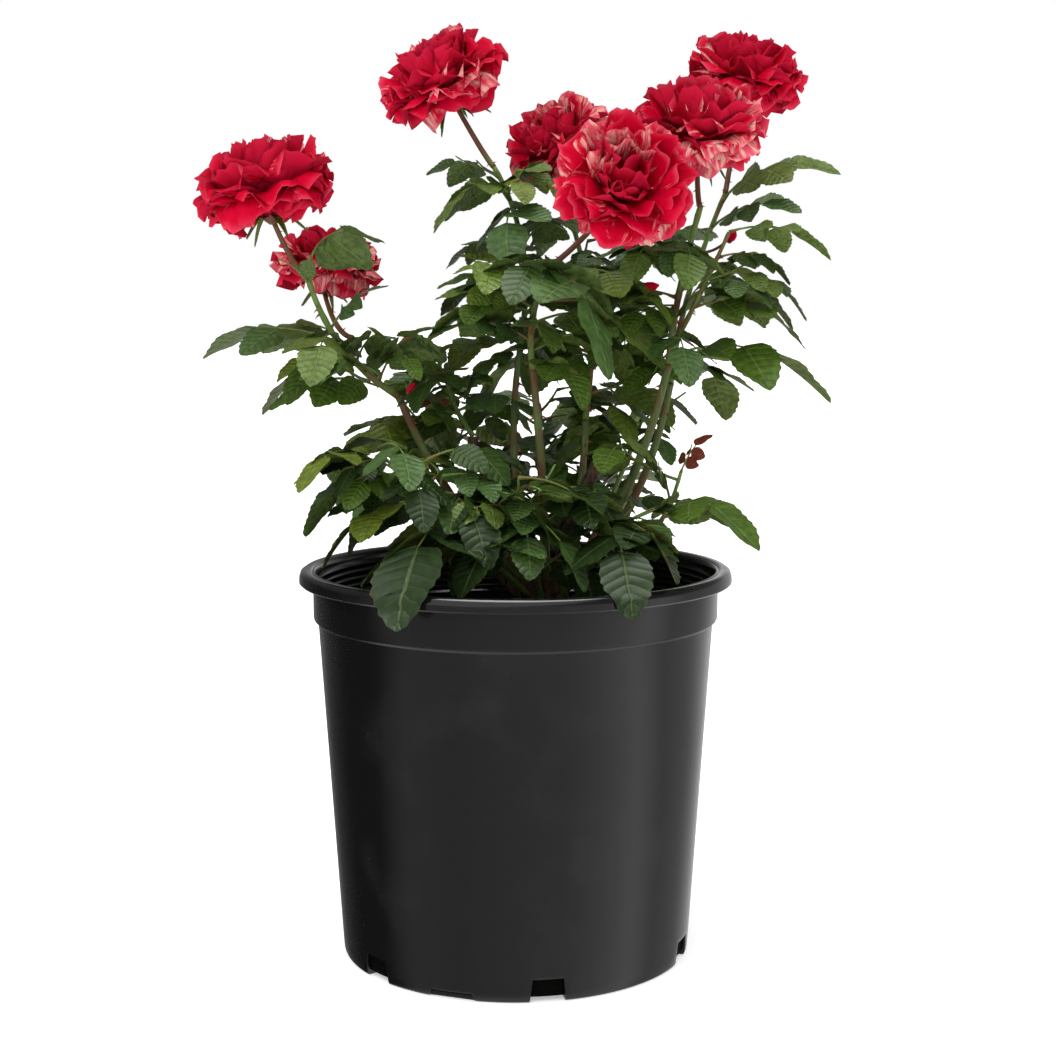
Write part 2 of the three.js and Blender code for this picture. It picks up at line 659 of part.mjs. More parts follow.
// The leaves of a shoot: those that are aimed, and those that a seeded rule deals out round it.
function leavesOf(shoot, random) {
  const dealt = Array.from({ length: shoot.leaves }, (_, i) => {
    const share = shoot.leaves > 1 ? i / (shoot.leaves - 1) : 1;
    return [
      mix(...shoot.span, share),
      shoot.heading + shoot.turn * i + swing(random, 10),
      mix(...shoot.length, share) * (1 + swing(random, 0.08)),
      mix(...shoot.rise, share) + swing(random, 7),
      shoot.droop + swing(random, 10),
    ];
  });
  return [...shoot.aimed, ...dealt];
}

for (const shoot of SHOOTS) {
  const random = seeded(shoot.seed);
  const line = curves.get(shoot.name);
  const grown = [];
  const apart = (piece) => grown.every((leaf) => leaf.minGap(piece, GAP) > 0);
  const clear = (piece) => isClear(piece, shoot.name) && apart(piece);
  for (const [share, heading, length, rise, droop] of leavesOf(shoot, random)) {
    const leaf = compoundLeaf(line.getPoint(share), heading, length, rise, droop, random, clear);
    if (isClear(leaf, shoot.name)) grown.push(leaf);
  }
  const stem = stems.get(shoot.name);
  stems.delete(shoot.name);
  solids.set(shoot.name, wholeOf(wasm.Manifold.union([stem, ...grown])));
}

const MATERIAL_OF = [
  [/^pot$/, COLOURS.pot],
  [/^potting/, COLOURS.soil],
  [/^(crown|old)/, COLOURS.wood],
  [/^cane/, COLOURS.cane],
  [/^foliage/, COLOURS.leaf],
  [/^bloom/, COLOURS.petal],
];

const bush = new THREE.Group();
for (const [name, solid] of solids) {
  const [, material] = MATERIAL_OF.find(([pattern]) => pattern.test(name));
  bush.add(meshOf(name, solid, material));
}

export default bush;
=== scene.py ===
"""A potted rose bush in full dress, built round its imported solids.

A rolled-rim nursery pot holds bark mix. Green canes and two old stubs rise from a woody crown, each
carries a leafy shoot, and flower stalks with large ruffled blooms stand on the shoots. Lengths are in
millimetres until a mesh is made, +Z is up and -Y is the side the bush is looked at from.
"""

import logging
import math
from collections.abc import Callable, Iterable, Sequence
from dataclasses import dataclass, field
from enum import Enum, IntEnum

import bpy
import numpy as np
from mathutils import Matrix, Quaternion, Vector


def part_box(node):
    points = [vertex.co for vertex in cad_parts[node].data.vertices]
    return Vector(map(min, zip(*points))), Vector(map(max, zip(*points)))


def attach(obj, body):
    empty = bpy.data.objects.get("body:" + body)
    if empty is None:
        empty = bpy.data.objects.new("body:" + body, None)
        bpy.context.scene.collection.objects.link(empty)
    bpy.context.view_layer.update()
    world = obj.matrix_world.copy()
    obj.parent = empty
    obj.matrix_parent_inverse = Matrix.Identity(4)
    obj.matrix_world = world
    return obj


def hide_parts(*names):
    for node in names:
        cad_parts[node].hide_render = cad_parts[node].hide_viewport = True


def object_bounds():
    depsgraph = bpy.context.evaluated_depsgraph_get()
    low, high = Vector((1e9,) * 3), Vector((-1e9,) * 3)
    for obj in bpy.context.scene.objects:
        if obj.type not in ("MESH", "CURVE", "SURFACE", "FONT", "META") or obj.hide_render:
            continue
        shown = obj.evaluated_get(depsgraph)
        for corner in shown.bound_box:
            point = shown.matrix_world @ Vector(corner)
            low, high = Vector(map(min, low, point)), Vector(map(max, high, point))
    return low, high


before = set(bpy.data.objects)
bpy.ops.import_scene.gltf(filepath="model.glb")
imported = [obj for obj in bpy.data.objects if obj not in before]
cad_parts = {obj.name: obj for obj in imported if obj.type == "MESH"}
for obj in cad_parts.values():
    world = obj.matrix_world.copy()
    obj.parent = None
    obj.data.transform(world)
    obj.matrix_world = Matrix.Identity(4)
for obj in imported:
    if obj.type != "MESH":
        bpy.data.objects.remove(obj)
CAD_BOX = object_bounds()

log = logging.getLogger("rose_bush")

MM = 0.001  # metres in a millimetre
UP = Vector((0, 0, 1))
HANDS = (-1, 1)  # left and right along a leaf
GAP = 0.3  # between a limb and what it carries
CELL_MAP = "OFBake"  # the map that leaves and petals are coloured by
LEAF_CELLS = (4, 3)  # columns and rows of the map of leaves
PETAL_CELLS = (4, 4)  # and of the map of petals
GOLDEN_ANGLE = 137.5  # degrees from each leaf or petal to the next round what carries it

Triple = tuple[float, float, float]
Pair = tuple[float, float]
Colour = tuple[float, float, float, float]
Directions = tuple[Vector, Vector, Vector]  # along a limb, to its side and up from it
Test = Callable[[np.ndarray], bool]  # whether points may be grown into


# ---- seeded growth -------------------------------------------------------------------------------


class Seeded:
    """The same run of numbers from 0 to 1 for the same seed."""

    def __init__(self, seed: int) -> None:
        """Starts the run at a seed."""
        self.state = seed

    def __call__(self) -> float:
        """The next number."""
        self.state = self.state * 16807 % 2147483647
        return self.state / 2147483647

    def swing(self, half: float) -> float:
        """A number spread evenly about 0, up to half either way."""
        return (self() * 2 - 1) * half

    def between(self, low: float, high: float) -> float:
        """A number from low to high."""
        return low + (high - low) * self()

    def pick(self, choices: Sequence) -> object:
        """One of some choices."""
        return choices[min(int(self() * len(choices)), len(choices) - 1)]


def mix(pair: Pair, share: float) -> float:
    """The number at a share of the way from the first of a pair to the second."""
    return pair[0] + (pair[1] - pair[0]) * share


def pointing(heading: float, slope: float) -> Vector:
    """A unit vector.

    Args:
        heading: degrees round +Z from +X.
        slope: degrees above level.

    Returns:
        The vector.
    """
    h, s = math.radians(heading), math.radians(slope)
    return Vector((math.cos(h) * math.cos(s), math.sin(h) * math.cos(s), math.sin(s)))


def turned(vector: Vector, axis: Vector, degrees: float) -> Vector:
    """A vector turned about an axis."""
    return Quaternion(axis, math.radians(degrees)) @ vector


@dataclass(frozen=True)
class Bend:
    """A smooth line from foot to tip that leans towards its middle point."""

    foot: Vector
    middle: Vector
    tip: Vector

    @classmethod
    def bowed(cls, foot: Vector, tip: Vector, bow: Vector) -> "Bend":
        """A line whose middle is moved aside by bow."""
        return cls(foot, (foot + tip) / 2 + 2 * bow, tip)

    def at(self, share: float) -> Vector:
        """The point at a share of the line."""
        back = 1 - share
        return back * back * self.foot + 2 * share * back * self.middle + share * share * self.tip

    def along(self, share: float) -> Vector:
        """The direction of growth at a share of the line."""
        return ((self.middle - self.foot).lerp(self.tip - self.middle, share)).normalized()

    def frame(self, share: float) -> Directions:
        """The directions at a share of the line.

        Args:
            share: of the line.

        Returns:
            The three. Side stays level.
        """
        along = self.along(share)
        side = along.cross(UP)
        side = side.normalized() if side.length_squared > 1e-4 else Vector((1, 0, 0))
        return along, side, side.cross(along).normalized()

    def points(self, count: int) -> np.ndarray:
        """Evenly spread points of the line."""
        return np.array([self.at(i / (count - 1)) for i in range(count)])

    @property
    def length(self) -> float:
        """The length of the line, near enough for spacing things along it.

        Returns:
            Millimetres.
        """
        return (self.middle - self.foot).length / 2 + (self.tip - self.middle).length / 2 + (
            self.tip - self.foot
        ).length / 2


# ---- meshes --------------------------------------------------------------------------------------


def object_of(name: str, points: np.ndarray, faces: Sequence) -> bpy.types.Object:
    """A smooth mesh object at the origin.

    Args:
        name: the piece's name.
        points: vertices in millimetres.
        faces: vertex numbers of each face.

    Returns:
        The object, linked to the scene.
    """
    mesh = bpy.data.meshes.new(name)
    mesh.from_pydata((points * MM).tolist(), [], faces)
    mesh.polygons.foreach_set("use_smooth", np.ones(len(mesh.polygons), bool))
    mesh.update()
    made = bpy.data.objects.new(name, mesh)
    bpy.context.collection.objects.link(made)
    return made


class Sheets:
    """Thin closed sheets, such as leaflets and petals, gathered into one mesh.

    Each side of a sheet is spread over one cell of the mesh's map, and its material tells the cells
    apart, so that every tint and streak stays where it is on the sheet.
    """

    inset = 0.04  # of a cell, left bare round what is spread over it

    def __init__(self, columns: int, rows: int) -> None:
        """Starts with no sheets, over a map of so many cells.

        Args:
            columns: of cells.
            rows: of cells.
        """
        self.cells = np.array([columns, rows])
        self.points: list[np.ndarray] = []
        self.faces: list[np.ndarray] = []
        self.maps: list[np.ndarray] = []
        self.rims: list[np.ndarray] = []
        self.count = 0

    def add(self, grid: np.ndarray, thickness: float, front: Pair, back: Pair) -> None:
        """Adds a sheet.

        Args:
            grid: rows from root to tip of points from edge to edge, as seen with the front up: the
                front looks along across x along.
            thickness: in millimetres, nothing at the rim.
            front: column and row of the front's cell.
            back: column and row of the back's cell.
        """
        rows, columns = grid.shape[:2]
        normal = np.cross(np.gradient(grid, axis=1), np.gradient(grid, axis=0))
        normal /= np.maximum(np.linalg.norm(normal, axis=2, keepdims=True), 1e-9)
        under = (grid - normal * thickness)[1:-1, 1:-1]
        upper = self.count + np.arange(rows * columns).reshape(rows, columns)
        lower = upper.copy()
        inner = (rows - 2) * (columns - 2)
        lower[1:-1, 1:-1] = self.count + rows * columns + np.arange(inner).reshape(under.shape[:2])
        rim = np.ones((rows, columns), bool)
        rim[1:-1, 1:-1] = False
        share = np.stack(np.meshgrid(np.linspace(0, 1, columns), np.linspace(0, 1, rows)), axis=2)
        share = self.inset + (1 - 2 * self.inset) * share
        flat = np.arange(rows * columns).reshape(rows, columns)
        for index, cell, order in ((upper, front, (0, 1, 2, 3)), (lower, back, (0, 3, 2, 1))):
            placed = ((np.array(cell) + share) / self.cells).reshape(-1, 2)
            self.faces.append(self._corners(index)[:, order])
            self.maps.append(placed[self._corners(flat)[:, order]].reshape(-1, 2))
        self.points += [grid.reshape(-1, 3), under.reshape(-1, 3)]
        self.rims += [rim.ravel(), np.zeros(inner, bool)]
        self.count += rows * columns + inner

    @staticmethod
    def _corners(table: np.ndarray) -> np.ndarray:
        """The four corners of each square of a grid of numbers."""
        square = [table[:-1, :-1], table[:-1, 1:], table[1:, 1:], table[1:, :-1]]
        return np.stack(square, axis=2).reshape(-1, 4)

    def made(self, name: str) -> bpy.types.Object:
        """The sheets as one object, creased at their rims.

        Args:
            name: the piece's name.

        Returns:
            The object.
        """
        piece = object_of(name, np.concatenate(self.points), np.concatenate(self.faces).tolist())
        mesh = piece.data
        layer = mesh.uv_layers.new(name=CELL_MAP)
        layer.uv.foreach_set("vector", np.concatenate(self.maps).ravel())
        ends = np.empty(2 * len(mesh.edges), np.int32)
        mesh.edges.foreach_get("vertices", ends)
        creased = np.concatenate(self.rims)[ends.reshape(-1, 2)].all(axis=1)
        sharp = mesh.attributes.new("sharp_edge", "BOOLEAN", "EDGE")
        sharp.data.foreach_set("value", creased)
        return piece


class Tubes:
    """Round tapering limbs, thorns and hips, gathered into one mesh."""

    def __init__(self) -> None:
        """Starts with none."""
        self.points: list[np.ndarray] = []
        self.faces: list[tuple[int, ...]] = []
        self.count = 0

    def add(self, line: np.ndarray, radii: Sequence[float], sides: int, flat: float = 1.0) -> None:
        """Adds a limb along a line.

        Args:
            line: the points it runs through.
            radii: its radius at each.
            sides: how many sides it has.
            flat: its breadth sideways, as a share of its breadth the other way.
        """
        along = np.gradient(line, axis=0)
        along /= np.maximum(np.linalg.norm(along, axis=1, keepdims=True), 1e-9)
        level = np.array([-along[0][1], along[0][0], 0.0])
        side = level / np.linalg.norm(level) if np.linalg.norm(level) > 0.05 else np.array([1.0, 0, 0])
        round_ = np.arange(sides) * 2 * math.pi / sides
        rings = []
        for point, way, radius in zip(line, along, radii):
            side = side - way * (side @ way)
            side /= np.linalg.norm(side)
            other = np.cross(way, side)
            spread = np.outer(np.cos(round_), side) * flat + np.outer(np.sin(round_), other)
            rings.append(point + radius * spread)
        steps = len(rings)
        start = self.count
        for i in range(steps - 1):
            low, high = start + i * sides, start + (i + 1) * sides
            for j in range(sides):
                k = (j + 1) % sides
                self.faces.append((low + j, low + k, high + k, high + j))
        self.faces.append(tuple(start + j for j in reversed(range(sides))))
        self.faces.append(tuple(start + (steps - 1) * sides + j for j in range(sides)))
        self.points += rings
        self.count += steps * sides

    def made(self, name: str) -> bpy.types.Object:
        """The limbs as one object."""
        return object_of(name, np.concatenate(self.points), self.faces)


def settle(piece: bpy.types.Object, finish: "Finish", replaced: Iterable[str] = ()) -> None:
    """Dresses a finished piece and hangs it on the frame.

    Args:
        piece: the object, at the origin.
        finish: what its surface looks like.
        replaced: the solids it stands for.
    """
    piece.data.materials.clear()
    piece.data.materials.append(finish.material())
    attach(piece, "root")
    if replaced:
        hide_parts(*replaced)
    log.info("%s: %d faces", piece.name, len(piece.data.polygons))


# ---- modelling by hand ---------------------------------------------------------------------------


def deselect() -> None:
    """Leaves nothing selected, as every piece starts."""
    if bpy.context.object and bpy.context.object.mode != "OBJECT":
        bpy.ops.object.mode_set(mode="OBJECT")
    bpy.ops.object.select_all(action="DESELECT")


def only(piece: bpy.types.Object) -> None:
    """Makes a piece the one that is selected and active.

    Args:
        piece: the object.
    """
    deselect()
    piece.select_set(True)
    bpy.context.view_layer.objects.active = piece


def apply_modifier(piece: bpy.types.Object, kind: str, name: str, **settings: object) -> None:
    """Adds a modifier to a piece and applies it.

    Args:
        piece: the object.
        kind: the modifier's type.
        name: the modifier's name.
        settings: what is set on it.
    """
    only(piece)
    modifier = piece.modifiers.new(name, kind)
    for key, value in settings.items():
        setattr(modifier, key, value)
    bpy.ops.object.modifier_apply(modifier=modifier.name)


def relief(name: str, size: float) -> bpy.types.Texture:
    """A cloudy height pattern for bark and soil.

    Args:
        name: the pattern's name.
        size: how wide its lumps are, in millimetres.

    Returns:
        The texture.
    """
    clouds = bpy.data.textures.new(name, "CLOUDS")
    clouds.noise_scale = size * MM
    clouds.noise_depth = 3
    return clouds


def extrude_ring(rise: float, growth: float, height: float) -> None:
    """Extrudes the selected ring of edges up and resizes it about its own middle.

    Args:
        rise: how far up, in millimetres.
        growth: its new radius as a share of the old.
        height: its height before, in millimetres.
    """
    bpy.ops.mesh.extrude_region_move(TRANSFORM_OT_translate={"value": (0, 0, rise * MM)})
    middle = (0, 0, (height + rise) * MM)
    bpy.ops.transform.resize(value=(growth, growth, 1), center_override=middle)


def revolve(name: str, profile: Sequence[Pair], sides: int) -> bpy.types.Object:
    """A round closed body modelled by extruding and resizing a ring through a profile.

    Args:
        name: the piece's name.
        profile: radius and height of each ring, from the middle of the underside round to the
            middle of the inside.
        sides: how many sides the ring has.

    Returns:
        The body as an object.
    """
    deselect()
    radius, height = profile[0]
    bpy.ops.mesh.primitive_circle_add(
        vertices=sides, radius=radius * MM, fill_type="NGON", location=(0, 0, height * MM)
    )
    body = bpy.context.object
    body.name = body.data.name = name
    bpy.ops.object.transform_apply(location=True, rotation=True, scale=True)
    bpy.ops.object.mode_set(mode="EDIT")
    bpy.ops.mesh.select_mode(type="EDGE")
    bpy.ops.mesh.select_all(action="SELECT")
    bpy.ops.mesh.delete(type="ONLY_FACE")
    bpy.ops.mesh.select_all(action="SELECT")
    for wider, higher in profile[1:]:
        extrude_ring(higher - height, wider / radius, height)
        radius, height = wider, higher
    bpy.ops.mesh.edge_face_add()
    bpy.ops.mesh.select_all(action="DESELECT")
    bpy.ops.mesh.select_non_manifold()
    bpy.ops.mesh.edge_face_add()
    bpy.ops.mesh.select_all(action="SELECT")
    bpy.ops.mesh.normals_make_consistent(inside=False)
    bpy.ops.object.mode_set(mode="OBJECT")
    return body


# ---- finishes ------------------------------------------------------------------------------------


def tone(code: str) -> Colour:
    """A shader colour from the six digits that name it on a screen.

    Args:
        code: two hexadecimal digits each for red, green and blue.

    Returns:
        The colour in linear light.
    """
    parts = [int(code[i : i + 2], 16) / 255 for i in (0, 2, 4)]
    linear = [c / 12.92 if c <= 0.04045 else ((c + 0.055) / 1.055) ** 2.4 for c in parts]
    return (*linear, 1.0)


def grey(level: float) -> Colour:
    """A shader colour without a hue."""
    return (level, level, level, 1.0)


class Socket:
    """A number or vector in a material, which can be reckoned with as in a formula."""

    def __init__(self, shader: "Shader", output: bpy.types.NodeSocket) -> None:
        """Wraps an output socket of a shader."""
        self.shader = shader
        self.output = output

    def __add__(self, other: "Value") -> "Socket":
        """The sum."""
        return self.shader.maths("ADD", self, other)

    def __sub__(self, other: "Value") -> "Socket":
        """The difference."""
        return self.shader.maths("SUBTRACT", self, other)

    def __mul__(self, other: "Value") -> "Socket":
        """The product."""
        return self.shader.maths("MULTIPLY", self, other)

    def __truediv__(self, other: "Value") -> "Socket":
        """The quotient."""
        return self.shader.maths("DIVIDE", self, other)

    def __pow__(self, other: "Value") -> "Socket":
        """The power."""
        return self.shader.maths("POWER", self, other)

    def __rsub__(self, other: float) -> "Socket":
        """A number less this."""
        return self.shader.maths("SUBTRACT", other, self)

    __radd__ = __add__
    __rmul__ = __mul__

    def floor(self) -> "Socket":
        """The whole part."""
        return self.shader.maths("FLOOR", self)

    def fraction(self) -> "Socket":
        """What is past the whole part."""
        return self.shader.maths("FRACT", self)

    def size(self) -> "Socket":
        """The number without its sign."""
        return self.shader.maths("ABSOLUTE", self)

    def clipped(self, low: float, high: float) -> "Socket":
        """0 below low, 1 above high and a smooth rise between.

        Args:
            low: where it starts to rise.
            high: where it has risen.

        Returns:
            The share risen.
        """
        settings = {"interpolation_type": "SMOOTHSTEP"}
        return self.shader.node(
            "ShaderNodeMapRange", settings, {"Value": self, "From Min": low, "From Max": high}
        )


Value = Socket | float


class Shader:
    """A tree of shader nodes under construction."""

    def __init__(self, tree: bpy.types.NodeTree) -> None:
        """Starts on a tree without nodes."""
        self.tree = tree
        self.tree.nodes.clear()

    def node(
        self,
        kind: str,
        settings: dict[str, object] | None = None,
        inputs: dict[str | int, object] | None = None,
        output: str | int = 0,
    ) -> Socket | None:
        """Adds a node.

        Args:
            kind: the node's type.
            settings: its settings, which are set first. "stops" are a ramp's places and colours.
            inputs: values or links for its sockets, by name or number.
            output: the name or number of the socket that is wanted.

        Returns:
            That socket, if the node has any.
        """
        made = self.tree.nodes.new(kind)
        for key, value in (settings or {}).items():
            if key == "stops":
                self._ramp(made.color_ramp, value)
            elif key == "interpolation":
                made.color_ramp.interpolation = value
            else:
                setattr(made, key, value)
        for key, value in (inputs or {}).items():
            if isinstance(value, Socket):
                self.tree.links.new(value.output, made.inputs[key])
            else:
                made.inputs[key].default_value = value
        return Socket(self, made.outputs[output]) if made.outputs else None

    @staticmethod
    def _ramp(ramp: bpy.types.ColorRamp, stops: Sequence[tuple[float, tuple]]) -> None:
        """Sets a ramp's stops.

        Args:
            ramp: the ramp.
            stops: the place and colour of each stop.
        """
        while len(ramp.elements) < len(stops):
            ramp.elements.new(1.0)
        for element, (place, colour) in zip(ramp.elements, stops):
            element.position = place
            element.color = colour

    def maths(self, operation: str, *values: Value) -> Socket:
        """A Math node on numbers."""
        return self.node("ShaderNodeMath", {"operation": operation}, dict(enumerate(values)))

    def mix(self, factor: Value, first: object, second: object) -> Socket:
        """A colour between two others."""
        inputs = {0: factor, 6: first, 7: second}
        return self.node("ShaderNodeMix", {"data_type": "RGBA"}, inputs, 2)

    def place(self) -> Socket:
        """Where the surface is on the object, in metres."""
        return self.node("ShaderNodeTexCoord", output="Object")

    def stretched(self, vector: Socket, scale: Triple) -> Socket:
        """A vector with each part scaled."""
        return self.node("ShaderNodeVectorMath", {"operation": "MULTIPLY"}, {0: vector, 1: scale})

    def split(self, vector: Socket) -> tuple[Socket, Socket, Socket]:
        """The three parts of a vector."""
        parts = self.node("ShaderNodeSeparateXYZ", None, {0: vector}).output.node
        return tuple(Socket(self, output) for output in parts.outputs)

    def vector(self, x: Value, y: Value, z: Value) -> Socket:
        """A vector of three numbers."""
        return self.node("ShaderNodeCombineXYZ", None, {0: x, 1: y, 2: z})

    def noise(self, vector: Socket, scale: float, detail: float = 3.0) -> Socket:
        """Cloudy noise about a half."""
        inputs = {"Vector": vector, "Scale": scale, "Detail": detail}
        return self.node("ShaderNodeTexNoise", None, inputs)

    def cells(self, columns: int, rows: int) -> tuple[Socket, Socket, Socket, Socket]:
        """The map of a mesh of sheets.

        Args:
            columns: of the map's cells.
            rows: of the map's cells.

        Returns:
            The cell's column and row, and the shares across and along within it.
        """
        u, v, _ = self.split(self.node("ShaderNodeUVMap", {"uv_map": CELL_MAP}))
        u, v = u * float(columns), v * float(rows)
        return u.floor(), v.floor(), u.fraction(), v.fraction()

    def finish(
        self, colour: object, roughness: Value, height: Socket | None, depth: float, **constants: object
    ) -> None:
        """Closes a material with its surface.

        Args:
            colour: the base colour.
            roughness: a number or a socket.
            height: relief from 0 to 1, if any.
            depth: how deep the relief is, in millimetres.
            constants: other inputs of the surface, the same all over.
        """
        inputs: dict[str | int, object] = {"Base Color": colour, "Roughness": roughness}
        if height is not None:
            bump = {"Height": height, "Distance": depth * MM, "Strength": 1.0}
            inputs["Normal"] = self.node("ShaderNodeBump", None, bump)
        inputs |= {key.replace("_", " "): value for key, value in constants.items()}
        surface = self.node("ShaderNodeBsdfPrincipled", None, inputs)
        self.node("ShaderNodeOutputMaterial", None, {"Surface": surface})


@dataclass(frozen=True)
class Finish:
    """What a surface looks like."""

    name: str

    def material(self) -> bpy.types.Material:
        """The finish's material, made on first use.

        Returns:
            The material.
        """
        made = bpy.data.materials.get(self.name)
        if made is None:
            made = bpy.data.materials.new(self.name)
            made.use_nodes = True
            self.build(Shader(made.node_tree))
        return made

    def build(self, shader: Shader) -> None:
        """Builds the material."""
        raise NotImplementedError


@dataclass(frozen=True)
class MouldedPlastic(Finish):
    """Black moulded plastic with faint flow lines, dust in its grain and scuffs."""

    dark: str = "101010"
    dust: str = "1f1f1e"

    def build(self, shader: Shader) -> None:
        """Builds the material.

        Args:
            shader: the material's tree.
        """
        place = shader.place()
        flow = shader.noise(shader.stretched(place, (1, 1, 0.12)), 90.0)
        grain = shader.noise(place, 1400.0, 2.0)
        dusty = shader.noise(place, 22.0, 5.0).clipped(0.5, 0.78)
        scuff = shader.noise(shader.stretched(place, (1, 1, 6)), 160.0, 4.0).clipped(0.66, 0.72)
        colour = shader.mix(dusty * 0.5 + scuff * 0.3, tone(self.dark), tone(self.dust))
        rough = 0.13 + flow * 0.07 + dusty * 0.07 + scuff * 0.1
        height = flow * 0.6 + grain * 0.4
        shader.finish(colour, rough, height, 0.05, Specular_IOR_Level=0.5)


@dataclass(frozen=True)
class BarkMix(Finish):
    """Damp bark and peat."""

    dark: str = "0d0a08"
    light: str = "2e2117"
    shade: str = "020201"
    lit: Pair = (0.03, 0.12)  # metres up, from all in the shade of the pot to none

    def build(self, shader: Shader) -> None:
        """Builds the material.

        Args:
            shader: the material's tree.
        """
        place = shader.place()
        crumbs = shader.node("ShaderNodeTexVoronoi", None, {"Vector": place, "Scale": 420.0})
        lumps = shader.noise(place, 160.0, 6.0)
        up = shader.split(place)[2]
        crumbled = (lumps * 1.3 - crumbs * 0.5).clipped(0.2, 0.8)
        bark = shader.mix(crumbled, tone(self.dark), tone(self.light))
        colour = shader.mix(up.clipped(*self.lit), tone(self.shade), bark)
        shader.finish(colour, 0.92, lumps + crumbs * 0.6, 1.2, Specular_IOR_Level=0.1)


@dataclass(frozen=True)
class OldBark(Finish):
    """Dry brown bark with long fissures."""

    dark: str = "1e140e"
    light: str = "5e4734"

    def build(self, shader: Shader) -> None:
        """Builds the material.

        Args:
            shader: the material's tree.
        """
        place = shader.place()
        fibres = shader.noise(shader.stretched(place, (1, 1, 0.16)), 520.0, 5.0)
        patches = shader.noise(place, 70.0, 4.0)
        weathered = (fibres * 0.7 + patches * 0.5).clipped(0.42, 0.78)
        colour = shader.mix(weathered, tone(self.dark), tone(self.light))
        shader.finish(colour, 0.8 + patches * 0.12, fibres, 0.8)


@dataclass(frozen=True)
class GreenBark(Finish):
    """Smooth young bark, green with a red blush and fine pale streaks."""

    green: str = "51642a"
    blush: str = "643420"
    pale: str = "808e50"
    reach: float = 0.54  # how far the blush spreads, less is more

    def build(self, shader: Shader) -> None:
        """Builds the material.

        Args:
            shader: the material's tree.
        """
        place = shader.place()
        streaks = shader.noise(shader.stretched(place, (1, 1, 0.1)), 700.0, 4.0)
        patches = shader.noise(place, 38.0, 3.0)
        blushed = patches.clipped(self.reach - 0.14, self.reach + 0.1)
        plain = shader.mix(streaks.clipped(0.5, 0.8) * 0.7, tone(self.green), tone(self.pale))
        colour = shader.mix(blushed * (0.55 + streaks * 0.5), plain, tone(self.blush))
        shader.finish(colour, 0.42 + streaks * 0.16, streaks, 0.2)


@dataclass(frozen=True)
class LeafBlade(Finish):
    """Toothed rose leaflets: two rows of tints for upper sides and one for undersides."""

    tints: tuple[str, ...] = (
        "355016", "567422", "4c6c32", "6c862c",
        "76882a", "86301f", "6a8236", "22380f",
        "647a3a", "748a3e", "698042", "7c8c40",
    )
    veins: int = 8

    def build(self, shader: Shader) -> None:
        """Builds the material.

        Args:
            shader: the material's tree.
        """
        column, row, across, along = shader.cells(*LEAF_CELLS)
        number = column + row * float(LEAF_CELLS[0])
        total = len(self.tints)
        stops = [(i / total, tone(code)) for i, code in enumerate(self.tints)]
        tint = shader.node(
            "ShaderNodeValToRGB",
            {"stops": stops, "interpolation": "CONSTANT"},
            {0: (number + 0.5) / float(total)},
        )
        out = (across * 2.0 - 1.0).size()
        swept = along - (out ** 1.25) * 0.16
        ladder = ((swept * float(self.veins)).fraction() - 0.5).size() * 2.0
        side_vein = ladder.clipped(0.8, 1.0) * (1.0 - out * 0.7)
        midrib = 1.0 - out.clipped(0.015, 0.08)
        vein = shader.maths("MAXIMUM", side_vein * 0.4, midrib)
        spot = shader.vector(across, along, number * 1.7)
        mottle = shader.noise(spot, 9.0, 4.0)
        fine = shader.noise(spot, 46.0, 3.0)
        bright = shader.mix(0.5, tint, tone("9db06a"))
        deep = shader.mix(0.55, tint, tone("0b160a"))
        blade = shader.mix(mottle.clipped(0.34, 0.7) * 0.75 + fine * 0.1, deep, tint)
        edged = shader.mix(out.clipped(0.86, 1.0) * 0.22, blade, bright)
        colour = shader.mix(vein * 0.3, edged, bright)
        quilt = (1.0 - ladder ** 2.0) * (1.0 - out * 0.5) + fine * 0.25 - midrib * 0.8
        rough = 0.36 + mottle * 0.16 + vein * 0.1
        shader.finish(colour, rough, quilt, 0.42, Specular_IOR_Level=0.3)


